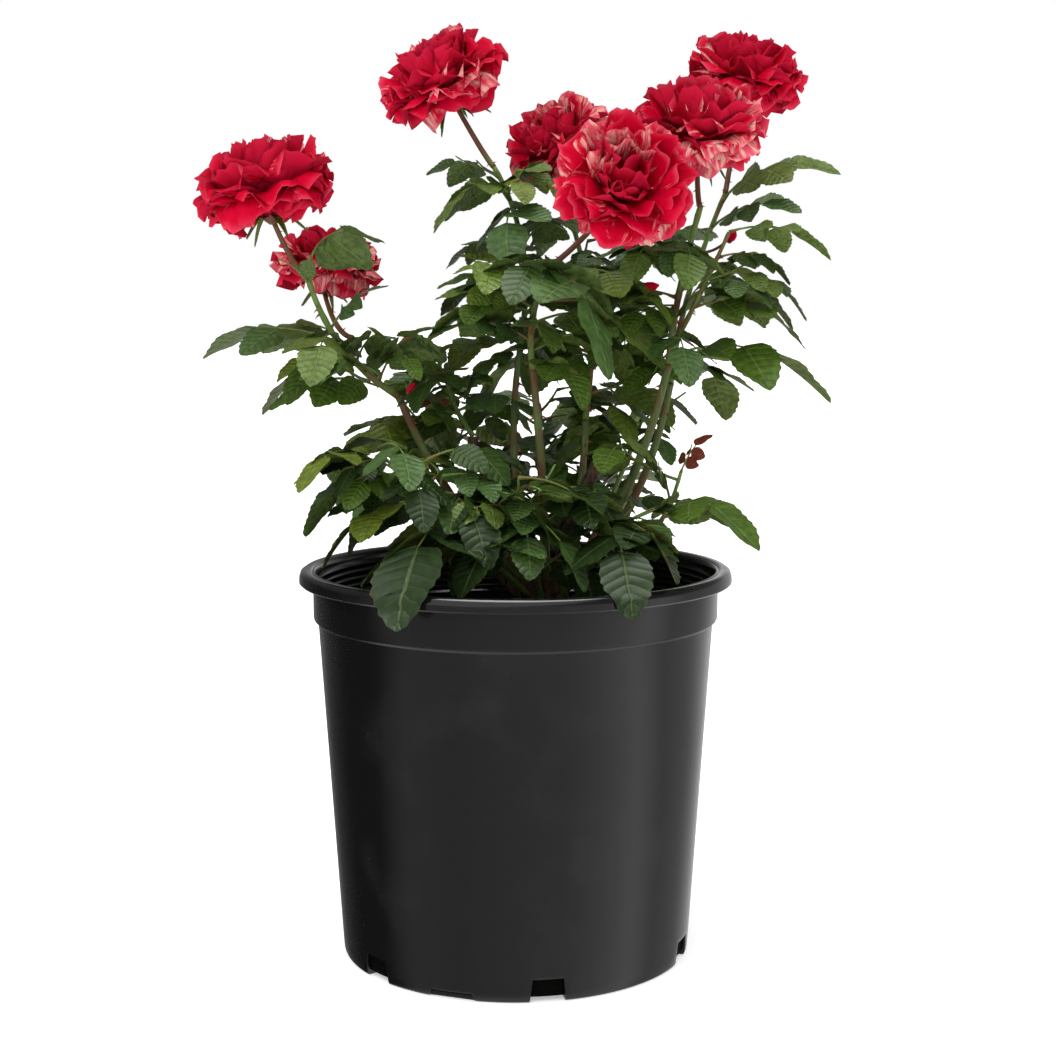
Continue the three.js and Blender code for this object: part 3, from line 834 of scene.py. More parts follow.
@dataclass(frozen=True)
class PetalSkin(Finish):
    """Ruffled petals: a row of red ones, a row with a few flecks, a striped row and a row of backs."""

    red: str = "cc012e"
    # deep red of the fine veins, also the painted shade towards each petal's root
    deep: str = "7e0116"
    # pink of the streaks and patches, also the painted highlight at the petal tips
    pink: str = "e8607a"
    cream: str = "f2cdb8"
    back: str = "c81c40"

    def build(self, shader: Shader) -> None:
        """Builds the material.

        Args:
            shader: the material's tree.
        """
        column, row, across, along = shader.cells(*PETAL_CELLS)
        number = column * 3.1 + row * 7.7
        fan = (across - 0.5) * (1.4 - along * 0.5)
        lines = shader.noise(shader.vector(fan * 24.0, along * 1.7, number), 1.6, 5.0)
        blots = shader.noise(shader.vector(fan * 3.6, along * 1.9, number + 5.0), 1.5, 3.0)
        fine = shader.noise(shader.vector(fan * 60.0, along * 3.0, number), 1.5, 3.0)
        front = 1.0 - row.clipped(2.4, 2.6)
        striped = row.clipped(1.4, 1.6) * front
        few = row.clipped(0.4, 0.6) * front
        streak = (lines * 0.55 + blots * 0.7).clipped(0.7, 0.88) * few
        patch = blots.clipped(0.42, 0.6) * striped
        # painted shade: each petal darkens towards its root, where the petals overlap
        shade = shader.mix(along.clipped(0.0, 0.55), tone(self.deep), tone(self.red))
        veined = shader.mix(fine.clipped(0.45, 0.75) * 0.35, shade, tone(self.deep))
        # painted highlight: paler pink towards each petal's tip, where the edges catch the light,
        # stronger on the flecked petals
        rim = along.clipped(0.84, 1.0) * (0.22 + few * 0.3)
        tip_highlit = shader.mix(rim, veined, tone(self.pink))
        under = shader.mix(row.clipped(2.4, 2.6) * 0.75, tip_highlit, tone(self.back))
        blushed = shader.mix(shader.maths("MAXIMUM", patch * 0.7, streak), under, tone(self.pink))
        pale = shader.maths("MAXIMUM", patch * lines.clipped(0.4, 0.62) * 0.75, streak * 0.6)
        colour = shader.mix(pale, blushed, tone(self.cream))
        shader.finish(colour, 0.56 + blots * 0.12, fine, 0.18, Specular_IOR_Level=0.05)


@dataclass(frozen=True)
class Paper(Finish):
    """Plain pale studio paper."""

    pale: str = "fbfbfb"

    def build(self, shader: Shader) -> None:
        """Builds the material.

        Args:
            shader: the material's tree.
        """
        fibre = shader.noise(shader.place(), 40.0)
        colour = shader.mix(fibre * 0.04, tone(self.pale), tone("efefef"))
        shader.finish(colour, 0.9, None, 0.0, Emission_Color=tone(self.pale), Emission_Strength=0.4)


class Look(Enum):
    """The finishes of the bush and its pot."""

    POT = MouldedPlastic("pot_plastic")
    MIX = BarkMix("damp_mix")
    CHIPS = BarkMix("bark_chips", dark="2a1a10", light="8a6544")
    OLD = OldBark("old_bark")
    CANE = GreenBark("cane_bark")
    TWIG = GreenBark("twig_bark", green="5c7a30", blush="7a3b2a", pale="8ea257", reach=0.6)
    STALK = GreenBark("stalk_bark", green="6c6a35", blush="6f2f25", pale="8d8a52", reach=0.44)
    THORN = GreenBark("thorn_bark", green="8a5a3a", blush="70281c", pale="b08a5c", reach=0.5)
    LEAF = LeafBlade("leaf_blade")
    PETAL = PetalSkin("petal_skin")
    PAPER = Paper("studio_paper")


# ---- pot, mix and crown --------------------------------------------------------------------------


@dataclass(frozen=True)
class Notches:
    """A row of notches round the pot's foot."""

    count: int
    heading: float
    width: float
    height: float
    inward: float


@dataclass(frozen=True)
class Pot:
    """The nursery pot: a tapering shell with a stacking band, a rolled rim and drain notches."""

    height: float = 252
    rim_radius: float = 140
    rim_depth: float = 8.5
    band_radius: float = 131
    band_bottom: float = 219
    shoulder_radius: float = 128
    foot_radius: float = 113.5
    foot_bevel: float = 2
    wall: float = 2.2
    floor: float = 3
    sides: int = 144
    ribs: int = 6
    rib: float = 0.7
    rib_pitch: float = 4.6
    drains: Notches = Notches(6, -79.7, 23, 15, 15)
    lifts: Notches = Notches(3, -110, 32, 5, 4)
    cut: float = 2  # how far a cutter starts outside what it cuts
    notch_top: float = 0.42  # half a notch's width at its top, of its width at its foot
    rings: tuple[float, ...] = (7, 18, 70, 145)  # up the wall, the first two just over the notches

    def wall_radius(self, height: float) -> float:
        """The outside of the tapering body at a height."""
        return mix((self.foot_radius, self.shoulder_radius), height / self.band_bottom)

    def profile(self) -> list[Pair]:
        """Radius and height of every ring.

        Returns:
            The rings, from the underside round the rim to the floor.
        """
        under = self.height - self.rim_depth
        outside = [
            (self.foot_radius - self.foot_bevel, 0),
            (self.foot_radius - 0.6, 0.6),
            (self.foot_radius, self.foot_bevel),
            *((self.wall_radius(up), up) for up in self.rings),
            (self.shoulder_radius - 0.1, self.band_bottom - 1.6),
            (self.shoulder_radius + 0.6, self.band_bottom),
            (self.band_radius - 0.4, self.band_bottom + 1.0),
            (self.band_radius, self.band_bottom + 2.4),
            (self.band_radius + 0.1, under - 1.2),
            (self.band_radius + 1.1, under - 0.1),
        ]
        lip = [
            (self.rim_radius - 1.1, under - 0.3),
            (self.rim_radius, under + 0.7),
            (self.rim_radius - 0.1, self.height - 4.4),
            (self.rim_radius - 1.0, self.height - 1.6),
            (self.rim_radius - 3.2, self.height - 0.1),
            (self.rim_radius - 6.2, self.height - 0.3),
            (self.band_radius + 0.6, self.height - 1.4),
            (self.band_radius - 0.9, self.height - 0.8),
            (self.band_radius - 1.8, self.height - 2.2),
            (self.band_radius - self.wall, self.height - 4.5),
        ]
        ribs = []
        for i in range(self.ribs):
            at = self.height - 8 - i * self.rib_pitch
            inside = self.band_radius - self.wall
            ribs += [(inside, at), (inside - self.rib, at - 0.9), (inside, at - 1.8)]
        bottom = self.foot_radius - self.wall
        inside = [
            (self.shoulder_radius - self.wall, self.band_bottom - 2),
            (self.wall_radius(100) - self.wall, 100),
            (bottom, self.floor + 1),
            (bottom - 1, self.floor),
        ]
        return outside + lip + ribs + inside

    def cutter(self, row: Notches) -> bpy.types.Object:
        """The wedges that cut one row of notches, wider below than above.

        Args:
            row: the notches.

        Returns:
            The wedges, joined.
        """
        wedges = []
        for i in range(row.count):
            heading = math.radians(row.heading + 360 / row.count * i)
            deselect()
            bpy.ops.mesh.primitive_cube_add(size=1, location=(0, 0, 0))
            wedge = bpy.context.object
            depth = row.inward + 4 * self.cut
            wedge.scale = (depth * MM, row.width * MM, (row.height + self.cut) * MM)
            bpy.ops.object.transform_apply(location=False, rotation=False, scale=True)
            bpy.ops.object.mode_set(mode="EDIT")
            bpy.ops.mesh.select_mode(type="FACE")
            bpy.ops.mesh.select_all(action="DESELECT")
            bpy.ops.object.mode_set(mode="OBJECT")
            for face in wedge.data.polygons:
                face.select = face.normal.z > 0.9
            bpy.ops.object.mode_set(mode="EDIT")
            bpy.ops.transform.resize(value=(1, 2 * self.notch_top, 1))
            bpy.ops.object.mode_set(mode="OBJECT")
            out = self.foot_radius - row.inward + depth / 2
            up = (row.height - self.cut) / 2
            wedge.location = Vector((math.cos(heading) * out, math.sin(heading) * out, up)) * MM
            wedge.rotation_euler = (0, 0, heading)
            bpy.ops.object.transform_apply(location=True, rotation=True, scale=True)
            wedges.append(wedge)
        only(wedges[0])
        for wedge in wedges:
            wedge.select_set(True)
        bpy.ops.object.join()
        return bpy.context.object

    def build(self) -> None:
        """Models the pot, cuts its notches and eases the cut edges."""
        body = revolve("nursery_pot", self.profile(), self.sides)
        for number, row in enumerate((self.drains, self.lifts)):
            cutter = self.cutter(row)
            cut = {"object": cutter, "operation": "DIFFERENCE", "solver": "EXACT"}
            apply_modifier(body, "BOOLEAN", f"notches_{number}", **cut)
            bpy.data.objects.remove(cutter)
        edges = {"limit_method": "ANGLE", "angle_limit": math.radians(50)}
        apply_modifier(body, "BEVEL", "eased", width=0.4 * MM, segments=2, **edges)
        only(body)
        bpy.ops.object.shade_smooth_by_angle(angle=math.radians(40))
        settle(body, Look.POT.value, ["pot"])

    def over_rim(self, points: np.ndarray) -> np.ndarray:
        """Points of a leaf that would run through the rim, moved off it.

        Args:
            points: of a leaf, in millimetres.

        Returns:
            The points, with those that met the rim moved to its nearest side.
        """
        out, up = np.hypot(points[..., 0], points[..., 1]), points[..., 2]
        inner, outer, top = self.band_radius - 5, self.rim_radius + 1.6, self.height + 1.4
        depths = np.stack([top - up, outer - out, out - inner])
        through = (depths > 0).all(axis=0) & (top - up < 60)
        nearest = np.where(through, depths.argmin(axis=0), -1)
        laid = points.copy()
        laid[..., 2] = np.where(nearest == 0, top, up)
        reach = np.where(nearest == 1, outer, np.where(nearest == 2, inner, out))
        laid[..., :2] *= (reach / np.maximum(out, 1))[..., None]
        return laid


POT = Pot()


@dataclass
class PottingMix:
    """Bark mix that fills the pot to its planting line, with loose chips on it."""

    pot: Pot = POT
    top: float = 205
    ripple: float = 3.0
    sides: int = 96
    loops: int = 14
    chips: int = 420
    chip_size: Pair = (2.0, 6.5)
    chip_rise: float = 0.35  # how high a chip stands, of its breadth

    def inside(self, height: float) -> float:
        """The radius that the mix fills at a height."""
        return self.pot.wall_radius(height) - self.pot.wall - GAP

    def heap(self) -> None:
        """Models the filled body and roughens its top."""
        foot = self.pot.floor + GAP
        reach = self.inside(self.top)
        rings = [(self.inside(foot), foot), (reach, self.top - 2)]
        rings += [(reach * (1 - i / self.loops) ** 0.9, self.top) for i in range(self.loops)]
        body = revolve("potting_mix_heap", rings, self.sides)
        group = body.vertex_groups.new(name="top")
        top = [v.index for v in body.data.vertices if v.co.z > (self.top - 1) * MM]
        group.add(top, 1.0, "REPLACE")
        texture = relief("crumbs", 9)
        apply_modifier(body, "DISPLACE", "rough", texture=texture, strength=self.ripple * MM,
            mid_level=0.6, direction="Z", texture_coords="LOCAL", vertex_group="top")
        settle(body, Look.MIX.value, ["potting_mix"])

    def scatter(self) -> None:
        """Lays flat bark chips on the mix."""
        random = Seeded(4211)
        chips = Tubes()
        for _ in range(self.chips):
            heading, out = random() * 2 * math.pi, math.sqrt(random()) * (self.inside(self.top) - 6)
            at = Vector((math.cos(heading) * out, math.sin(heading) * out, self.top - 0.4))
            length = random.between(*self.chip_size)
            way = pointing(random() * 360, random.swing(16)) * length
            line = np.array([at - way, at - way * 0.4, at + way * 0.5, at + way])
            wide = length * random.between(0.3, 0.55)
            chips.add(line, [wide * 0.4, wide, wide * 0.9, wide * 0.3], 6)
        piece = chips.made("potting_mix_chips")
        points = np.array([v.co for v in piece.data.vertices])
        level = self.top * MM
        points[:, 2] = level + (points[:, 2] - level) * self.chip_rise
        piece.data.vertices.foreach_set("co", points.ravel())
        settle(piece, Look.CHIPS.value)

    def build(self) -> None:
        """Makes the mix and its chips."""
        self.heap()
        self.scatter()


@dataclass
class Crown:
    """The woody crown: a leaning knobbly stump with a flared foot that ends in a blunt fork."""

    at: Pair = (21, 4)
    foot: float = 205 + GAP
    flare: float = 20
    neck: float = 14
    height: float = 40
    lean: Pair = (-2, 1)
    sides: int = 72
    rings: int = 26

    def radius(self, share: float) -> float:
        """How thick it is at a share of its height."""
        fork = max(0.0, share - 0.7) / 0.3
        return self.neck + (self.flare - self.neck) * (1 - share) ** 2.2 - 4.5 * fork * fork

    def build(self) -> None:
        """Models the stump and roughens its bark."""
        shares = [i / self.rings for i in range(self.rings + 1)]
        rings = [(self.radius(s), self.foot + s * self.height) for s in shares]
        top = rings[-1]
        rings += [(top[0] * 0.62, top[1] + 1.9), (top[0] * 0.2, top[1] + 3.2)]
        body = revolve("crown_wood", rings, self.sides)
        points = np.array([v.co for v in body.data.vertices])
        share = np.clip((points[:, 2] / MM - self.foot) / self.height, 0, 1)
        turn = np.arctan2(-points[:, 1], points[:, 0])
        knobbly = 1 + 0.07 * np.sin(5 * turn + 4 * share)
        points[:, :2] *= knobbly[:, None]
        points[:, :2] += (np.array(self.at) + np.outer(share, self.lean)) * MM
        body.data.vertices.foreach_set("co", points.ravel())
        body.data.update()
        group = body.vertex_groups.new(name="bark")
        group.add([i for i, s in enumerate(share) if s > 0.02], 1.0, "REPLACE")
        apply_modifier(body, "DISPLACE", "bark", texture=relief("bark_lumps", 7), strength=2.6 * MM,
            mid_level=0.62, texture_coords="LOCAL", vertex_group="bark")
        settle(body, Look.OLD.value, ["crown"])


# ---- limbs ---------------------------------------------------------------------------------------


@dataclass(frozen=True)
class Cane:
    """A bare lower limb. One that is named old is a pruned woody stub."""

    name: str
    foot: Triple
    tip: Triple
    bow: Triple
    radius: Pair

    def grow(self, bush: "Bush") -> Bend:
        """Its line."""
        return Bend.bowed(Vector(self.foot), Vector(self.tip), Vector(self.bow))

    @property
    def old(self) -> bool:
        """Whether it is a woody stub."""
        return self.name.startswith("old")

    def build(self, bush: "Bush", line: Bend) -> None:
        """Models the cane as a beaded curve and gives it its bark and thorns.

        Args:
            bush: the bush that it grows in.
            line: its line.
        """
        if not self.old:
            fine = Seeded(int(line.length * 10))
            thorns_on(bush.thorns, line, self.radius, (0.08, 0.95), int(line.length / 9), fine)
        steps, nodes = max(24, int(line.length / 2.4)), max(3, int(line.length / 32))
        deselect()
        bpy.ops.curve.primitive_nurbs_path_add(location=(0, 0, 0))
        limb = bpy.context.object
        limb.name = f"{self.name}_bark"
        curve = limb.data
        curve.splines.clear()
        spline = curve.splines.new("POLY")
        spline.points.add(steps - 1)
        for i, point in enumerate(spline.points):
            share = i / (steps - 1)
            ring = abs((share * nodes) % 1.0 - 0.5) * 2  # 1 at a leaf scar, 0 between two
            swell = 1 + (0.05 if self.old else 0.13) * ring ** 14
            point.co = (*(line.at(share) * MM), 1)
            point.radius = mix(self.radius, share) * swell
        curve.dimensions = "3D"
        curve.bevel_depth = MM
        curve.bevel_resolution = 5
        curve.use_fill_caps = True
        curve.twist_mode = "MINIMUM"
        bpy.ops.object.convert(target="MESH")
        limb = bpy.context.object
        bpy.ops.object.mode_set(mode="EDIT")
        bpy.ops.mesh.select_all(action="SELECT")
        bpy.ops.mesh.remove_doubles(threshold=0.01 * MM)
        bpy.ops.mesh.normals_make_consistent(inside=False)
        bpy.ops.object.mode_set(mode="OBJECT")
        lumps, strength = (5.0, 1.5) if self.old else (3.0, 0.4)
        texture = relief(f"{self.name}_relief", lumps)
        apply_modifier(limb, "DISPLACE", "bark", texture=texture, strength=strength * MM,
            mid_level=0.55, texture_coords="LOCAL")
        only(limb)
        bpy.ops.object.shade_smooth()
        look, slot = (Look.OLD, "old_wood") if self.old else (Look.CANE, "green_cane")
        settle(limb, look.value, [self.name])


def thorns_on(tubes: Tubes, line: Bend, radius: Pair, span: Pair, count: int, random: Seeded) -> None:
    """Sets hooked thorns on a limb.

    Args:
        tubes: what they are added to.
        line: the limb's line.
        radius: the limb's, at foot and tip.
        span: the shares of the line between which they stand.
        count: how many.
        random: the seeded run that places them.
    """
    for _ in range(count):
        share = random.between(*span)
        along, side, upper = line.frame(share)
        angle = random() * 2 * math.pi
        out = side * math.cos(angle) + upper * math.sin(angle)
        thick = mix(radius, share)
        long_ = random.between(2.6, 4.6) * min(1.0, 0.4 + thick / 4)
        root = line.at(share) + out * thick * 0.7
        tip = root + out * (long_ + thick * 0.3) - along * long_ * 0.45
        knee = root.lerp(tip, 0.5) + along * long_ * 0.1
        broad = long_ * 0.34
        tubes.add(np.array([root, knee, tip]), [broad, broad * 0.45, 0.06], 6, flat=0.5)


# ---- leaves --------------------------------------------------------------------------------------


class Tint(IntEnum):
    """The cells of the leaf map, a column and row each."""

    DEEP = 0
    MIDDLE = 1
    BLUISH = 2
    FRESH = 3
    YELLOWISH = 4
    BRONZE = 5
    LIGHT = 6
    SHADED = 7

    @property
    def front(self) -> Pair:
        """The cell of a leaflet's upper side."""
        return self % LEAF_CELLS[0], self // LEAF_CELLS[0]

    @property
    def back(self) -> Pair:
        """The cell of a leaflet's underside."""
        return self % LEAF_CELLS[0], LEAF_CELLS[1] - 1


@dataclass(frozen=True)
class Leaf:
    """The shape of a pinnate leaf, in shares of its length unless said otherwise."""

    petiole: float = 0.64
    terminal: float = 0.44
    pairs: Pair = (0.33, 0.4)
    stations: Pair = (0.4, 0.74)
    spread: float = 64  # degrees between the rachis and a side leaflet
    hang: float = 0.28
    twist: float = 16
    width: float = 0.74  # of a leaflet's own length
    base: float = 0.42  # powers that round a leaflet's base and draw out its tip
    point: float = 0.75
    fold: float = 0.2
    sag: float = 0.12
    thickness: float = 0.5  # in millimetres
    rachis: Pair = (1.0, 0.55)  # its radius at foot and end, in millimetres
    teeth: int = 8
    tooth: float = 0.035
    lean: float = 0.02  # how far a tooth points forward

    def outline(self) -> tuple[np.ndarray, np.ndarray]:
        """The outline of a leaflet.

        Returns:
            The rows' shares along it, and half its toothed breadth at each.
        """
        row = np.arange(2 * self.teeth + 1)
        share = row / (2 * self.teeth)
        broad = share**self.base * (1 - share) ** self.point
        broad /= broad.max()
        broad *= np.where(row % 2 == 1, 1 + self.tooth, 1 - self.tooth)
        broad[0], broad[-1] = 0.05, 0.025
        return share, broad

    def blade(self, root: Vector, directions: Directions, length: float, random: Seeded) -> np.ndarray:
        """One leaflet as a grid of points.

        Args:
            root: where it leaves the rachis.
            directions: the ones it grows in, across it and that its upper face looks in.
            length: in millimetres.
            random: the seeded run for its waves.

        Returns:
            Rows from root to tip of points from edge to edge.
        """
        way, side, upper = directions
        share, broad = self.outline()
        across = np.array([1, 0, -1.0])
        half = length * self.width / 2 * random.between(0.9, 1.08)
        wave = 0.05 * np.sin(share * random.between(9, 15) + random() * 6.3)
        cupped = random.between(-0.2, 1.3)
        reach = np.outer(broad, across)
        lean = np.where(np.arange(len(share)) % 2 == 1, self.lean, 0.0)
        forward = share[:, None] + lean[:, None] * (np.abs(across) == 1)
        forward = np.minimum(forward, 1.0)
        lift = (
            np.abs(reach) * half * self.fold * cupped
            - length * self.sag * share[:, None] ** 2
            + wave[:, None] * half * across * np.abs(across)
        )
        return (
            np.array(root)
            + forward[:, :, None] * length * np.array(way)
            + (reach * half)[:, :, None] * np.array(side)
            + lift[:, :, None] * np.array(upper)
        )

    def blade_frame(
        self, ring: Directions, roll: float, turn: float, twist: float, random: Seeded
    ) -> Directions:
        """The frame of a leaflet that leaves the rachis at an angle and hangs a little.

        Args:
            ring: the rachis's along, side and upper directions there.
            roll: how far the whole leaf is rolled, in degrees.
            turn: degrees from the rachis's direction to the leaflet's.
            twist: degrees that the leaflet turns about its own midrib.
            random: the seeded run.

        Returns:
            Its way, side and upper directions.
        """
        along, _, upper = ring
        tilted = turned(upper, along, roll + random.swing(10))
        way = turned(along, tilted, turn + random.swing(7))
        way = (way - UP * self.hang * (0.5 + random())).normalized()
        side = turned(tilted.cross(way).normalized(), way, twist + random.swing(6))
        return way, side, way.cross(side)


LEAF = Leaf()


@dataclass
class Growth:
    """What grows on one shoot, gathered as it is made."""

    blades: Sheets = field(default_factory=lambda: Sheets(*LEAF_CELLS))
    twigs: Tubes = field(default_factory=Tubes)


@dataclass
class Hindrances:
    """What a leaf has to keep clear of: limbs, as chains of beads, and blooms."""

    centres: list[np.ndarray] = field(default_factory=list)
    radii: list[np.ndarray] = field(default_factory=list)
    owners: list[str] = field(default_factory=list)

    def add(self, owner: str, points: np.ndarray, radii: np.ndarray) -> None:
        """Adds a chain of beads.

        Args:
            owner: the limb or bloom.
            points: the middles of the beads.
            radii: their radii.
        """
        self.centres.append(points)
        self.radii.append(radii)
        self.owners += [owner] * len(points)

    def guard(self, own: str) -> Test:
        """A test of whether points keep off everything but their own limb.

        Args:
            own: the limb that is left out.

        Returns:
            The test.
        """
        others = np.array([owner != own for owner in self.owners])
        centres = np.concatenate(self.centres)[others]
        radii = np.concatenate(self.radii)[others]

        def clear(points: np.ndarray) -> bool:
            """Whether all points are clear."""
            apart = np.linalg.norm(points[:, None] - centres[None], axis=2) - radii[None]
            return bool(apart.min() > 0)

        return clear


def grow_leaf(
    growth: Growth,
    foot: Vector,
    row: Sequence[float],
    random: Seeded,
    tint: Tint,
    clear: Test,
    fine: Seeded,
) -> None:
    """Grows one pinnate leaf.

    Args:
        growth: what it is added to.
        foot: where it leaves its stem.
        row: its heading, length, rise and droop.
        random: the run that shapes it.
        tint: its colour.
        clear: whether points may be grown into.
        fine: the run for waves and other small things.
    """
    heading, length, rise, droop = row
    reach = length * LEAF.petiole
    middle = foot + pointing(heading, rise) * (reach / 2)
    end = middle + pointing(heading + random.swing(8), rise - droop) * (reach / 2)
    line = Bend(foot, middle, end)
    roll = random.swing(24)
    blades = []
    for size, station in zip(LEAF.pairs, LEAF.stations):
        ring = line.frame(station)
        for hand in HANDS:
            directions = LEAF.blade_frame(ring, roll, -hand * LEAF.spread, hand * LEAF.twist, random)
            long_ = length * size * (1 + random.swing(0.1))
            root = line.at(station) + ring[1] * hand * 0.8
            blades.append(LEAF.blade(root, directions, long_, fine))
    long_ = length * LEAF.terminal * (1 + random.swing(0.1))
    directions = LEAF.blade_frame(line.frame(1), roll, 0, 0, random)
    blades.append(LEAF.blade(end, directions, long_, fine))
    blades = [POT.over_rim(blade) for blade in blades]
    kept = [blade for blade in blades if clear(blade.reshape(-1, 3))]
    for blade in kept:
        growth.blades.add(blade, LEAF.thickness, tint.front, tint.back)
    if kept:
        thick = min(1.0, 0.55 + length / 200)
        radii = np.linspace(LEAF.rachis[0], LEAF.rachis[1], 7) * thick
        radii[0] *= 1.7
        growth.twigs.add(POT.over_rim(line.points(7)), radii, 6)


# ---- shoots --------------------------------------------------------------------------------------


@dataclass(frozen=True)
class Shoot:
    """A mass of foliage on one stem, from the crown or on from what it stands on.

    Leaves are spaced along the span of the stem and turn round it: heading is the first one's, and
    length and rise change from foot to tip. Aimed leaves give their share of the stem, heading,
    length, rise and droop.
    """

    name: str
    on: str
    tip: Triple
    bow: Triple
    radius: Pair
    leaves: int
    span: Pair
    heading: float
    turn: float
    length: Pair
    rise: Pair
    droop: float
    seed: int
    foot: Triple | None = None
    aimed: tuple[tuple[float, ...], ...] = ()
    pitch: float = 34  # between its finer twigs
    small: Pair = (40, 70)  # the reach of the leaves on them
    dark: bool = False  # whether it stands in the shade of the others

    def grow(self, bush: "Bush") -> Bend:
        """Its stem's line."""
        return Bend.bowed(bush.foot_on(self.on, self.foot), Vector(self.tip), Vector(self.bow))

    def dealt(self, random: Seeded) -> list[tuple[float, ...]]:
        """The leaves that the seeded rule deals out round the stem.

        Args:
            random: the run that deals them.

        Returns:
            Each leaf's share of the stem, heading, length, rise and droop.
        """
        rows = []
        for i in range(self.leaves):
            share = i / (self.leaves - 1) if self.leaves > 1 else 1.0
            rows.append(
                (
                    mix(self.span, share),
                    self.heading + self.turn * i + random.swing(10),
                    mix(self.length, share) * (1 + random.swing(0.08)),
                    mix(self.rise, share) + random.swing(7),
                    self.droop + random.swing(10),
                )
            )
        return rows

    def tint(self, length: float, share: float, fine: Seeded) -> Tint:
        """The colour of a leaf: the smallest are bronze, small ones at the tip fresh, a few yellowing.

        Args:
            length: the leaf's.
            share: of the stem, where it stands.
            fine: the run that picks it.

        Returns:
            The tint.
        """
        if length < 32:
            return Tint.BRONZE
        young = length < 58 and share > 0.8
        if young:
            choices = [Tint.FRESH, Tint.LIGHT, Tint.LIGHT, Tint.MIDDLE]
        elif self.dark:
            choices = [Tint.DEEP, Tint.SHADED, Tint.SHADED, Tint.BLUISH]
        else:
            choices = [Tint.DEEP, *2 * [Tint.MIDDLE], *2 * [Tint.BLUISH], Tint.FRESH, Tint.LIGHT]
        if "left" in self.name and length < 100 and fine() < 0.12:
            return Tint.YELLOWISH
        return fine.pick(choices)

    def space(self, bush: "Bush", box: tuple[Vector, Vector]) -> Test:
        """A test of whether points are in a space and clear of other limbs.

        Args:
            bush: the bush that it grows in.
            box: two corners of the space, in metres.

        Returns:
            The test.
        """
        low, high = (np.array(corner) / MM for corner in box)
        clear = bush.hindrances.guard(self.name)

        def inside(points: np.ndarray) -> bool:
            """Whether all points are."""
            within = (points > low - bush.leeway).all() and (points < high + bush.leeway).all()
            return bool(within) and clear(points)

        return inside

    def fill(self, line: Bend, growth: Growth, fine: Seeded, inside: Test) -> None:
        """Carries the stem on to finer twigs with small leaves, within the reach of its mass.

        Args:
            line: the stem's.
            growth: what it is added to.
            fine: the run that shapes it.
            inside: whether points may be grown into.
        """
        for i in range(int(line.length / self.pitch)):
            share = min(0.96, self.span[0] * 0.6 + (i + fine()) * self.pitch / line.length)
            heading = i * GOLDEN_ANGLE + fine.swing(40)
            root = line.at(share)
            tip = root + pointing(heading, fine.between(15, 60)) * fine.between(16, 42)
            twig = Bend.bowed(root, tip, Vector((0, 0, -1.5)))
            growth.twigs.add(twig.points(6), np.linspace(1.1, 0.7, 6), 6)
            for j in range(2):
                towards = heading + j * 80 + fine.swing(25)
                row = (towards, fine.between(*self.small), fine.between(0, 35), 46)
                tint = self.tint(row[1], 0.5, fine)
                grow_leaf(growth, twig.at(0.6 + 0.4 * j), row, fine, tint, inside, fine)

    def build(self, bush: "Bush", line: Bend) -> None:
        """Grows the stem, its leaves, thorns and finer twigs.

        Args:
            bush: the bush that it grows in.
            line: its stem's line.
        """
        random, fine = Seeded(self.seed), Seeded(self.seed * 31 + 7)
        growth = Growth()
        radii = np.linspace(*self.radius, 22)
        radii[::5] *= 1.14  # leaf scars
        growth.twigs.add(line.points(22), radii, 10)

        anywhere, inside = (self.space(bush, box) for box in (CAD_BOX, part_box(self.name)))
        for leaves, clear in ((self.aimed, anywhere), (self.dealt(random), inside)):
            for share, *row in leaves:
                tint = self.tint(row[1], share, fine)
                grow_leaf(growth, line.at(share), row, random, tint, clear, fine)
        self.fill(line, growth, fine, inside)
        thorns_on(bush.thorns, line, self.radius, (0.03, 0.9), int(line.length / 13), fine)
        plain = self.name.removeprefix("foliage_")
        settle(growth.blades.made(f"leaves_{plain}"), Look.LEAF.value, [self.name])
        settle(growth.twigs.made(f"twigs_{plain}"), Look.TWIG.value, [self.name])


# ---- blooms --------------------------------------------------------------------------------------


class Marking(IntEnum):
    """The rows of the petal map."""

    RED = 0
    FLECKED = 1
    STRIPED = 2
    BACK = 3


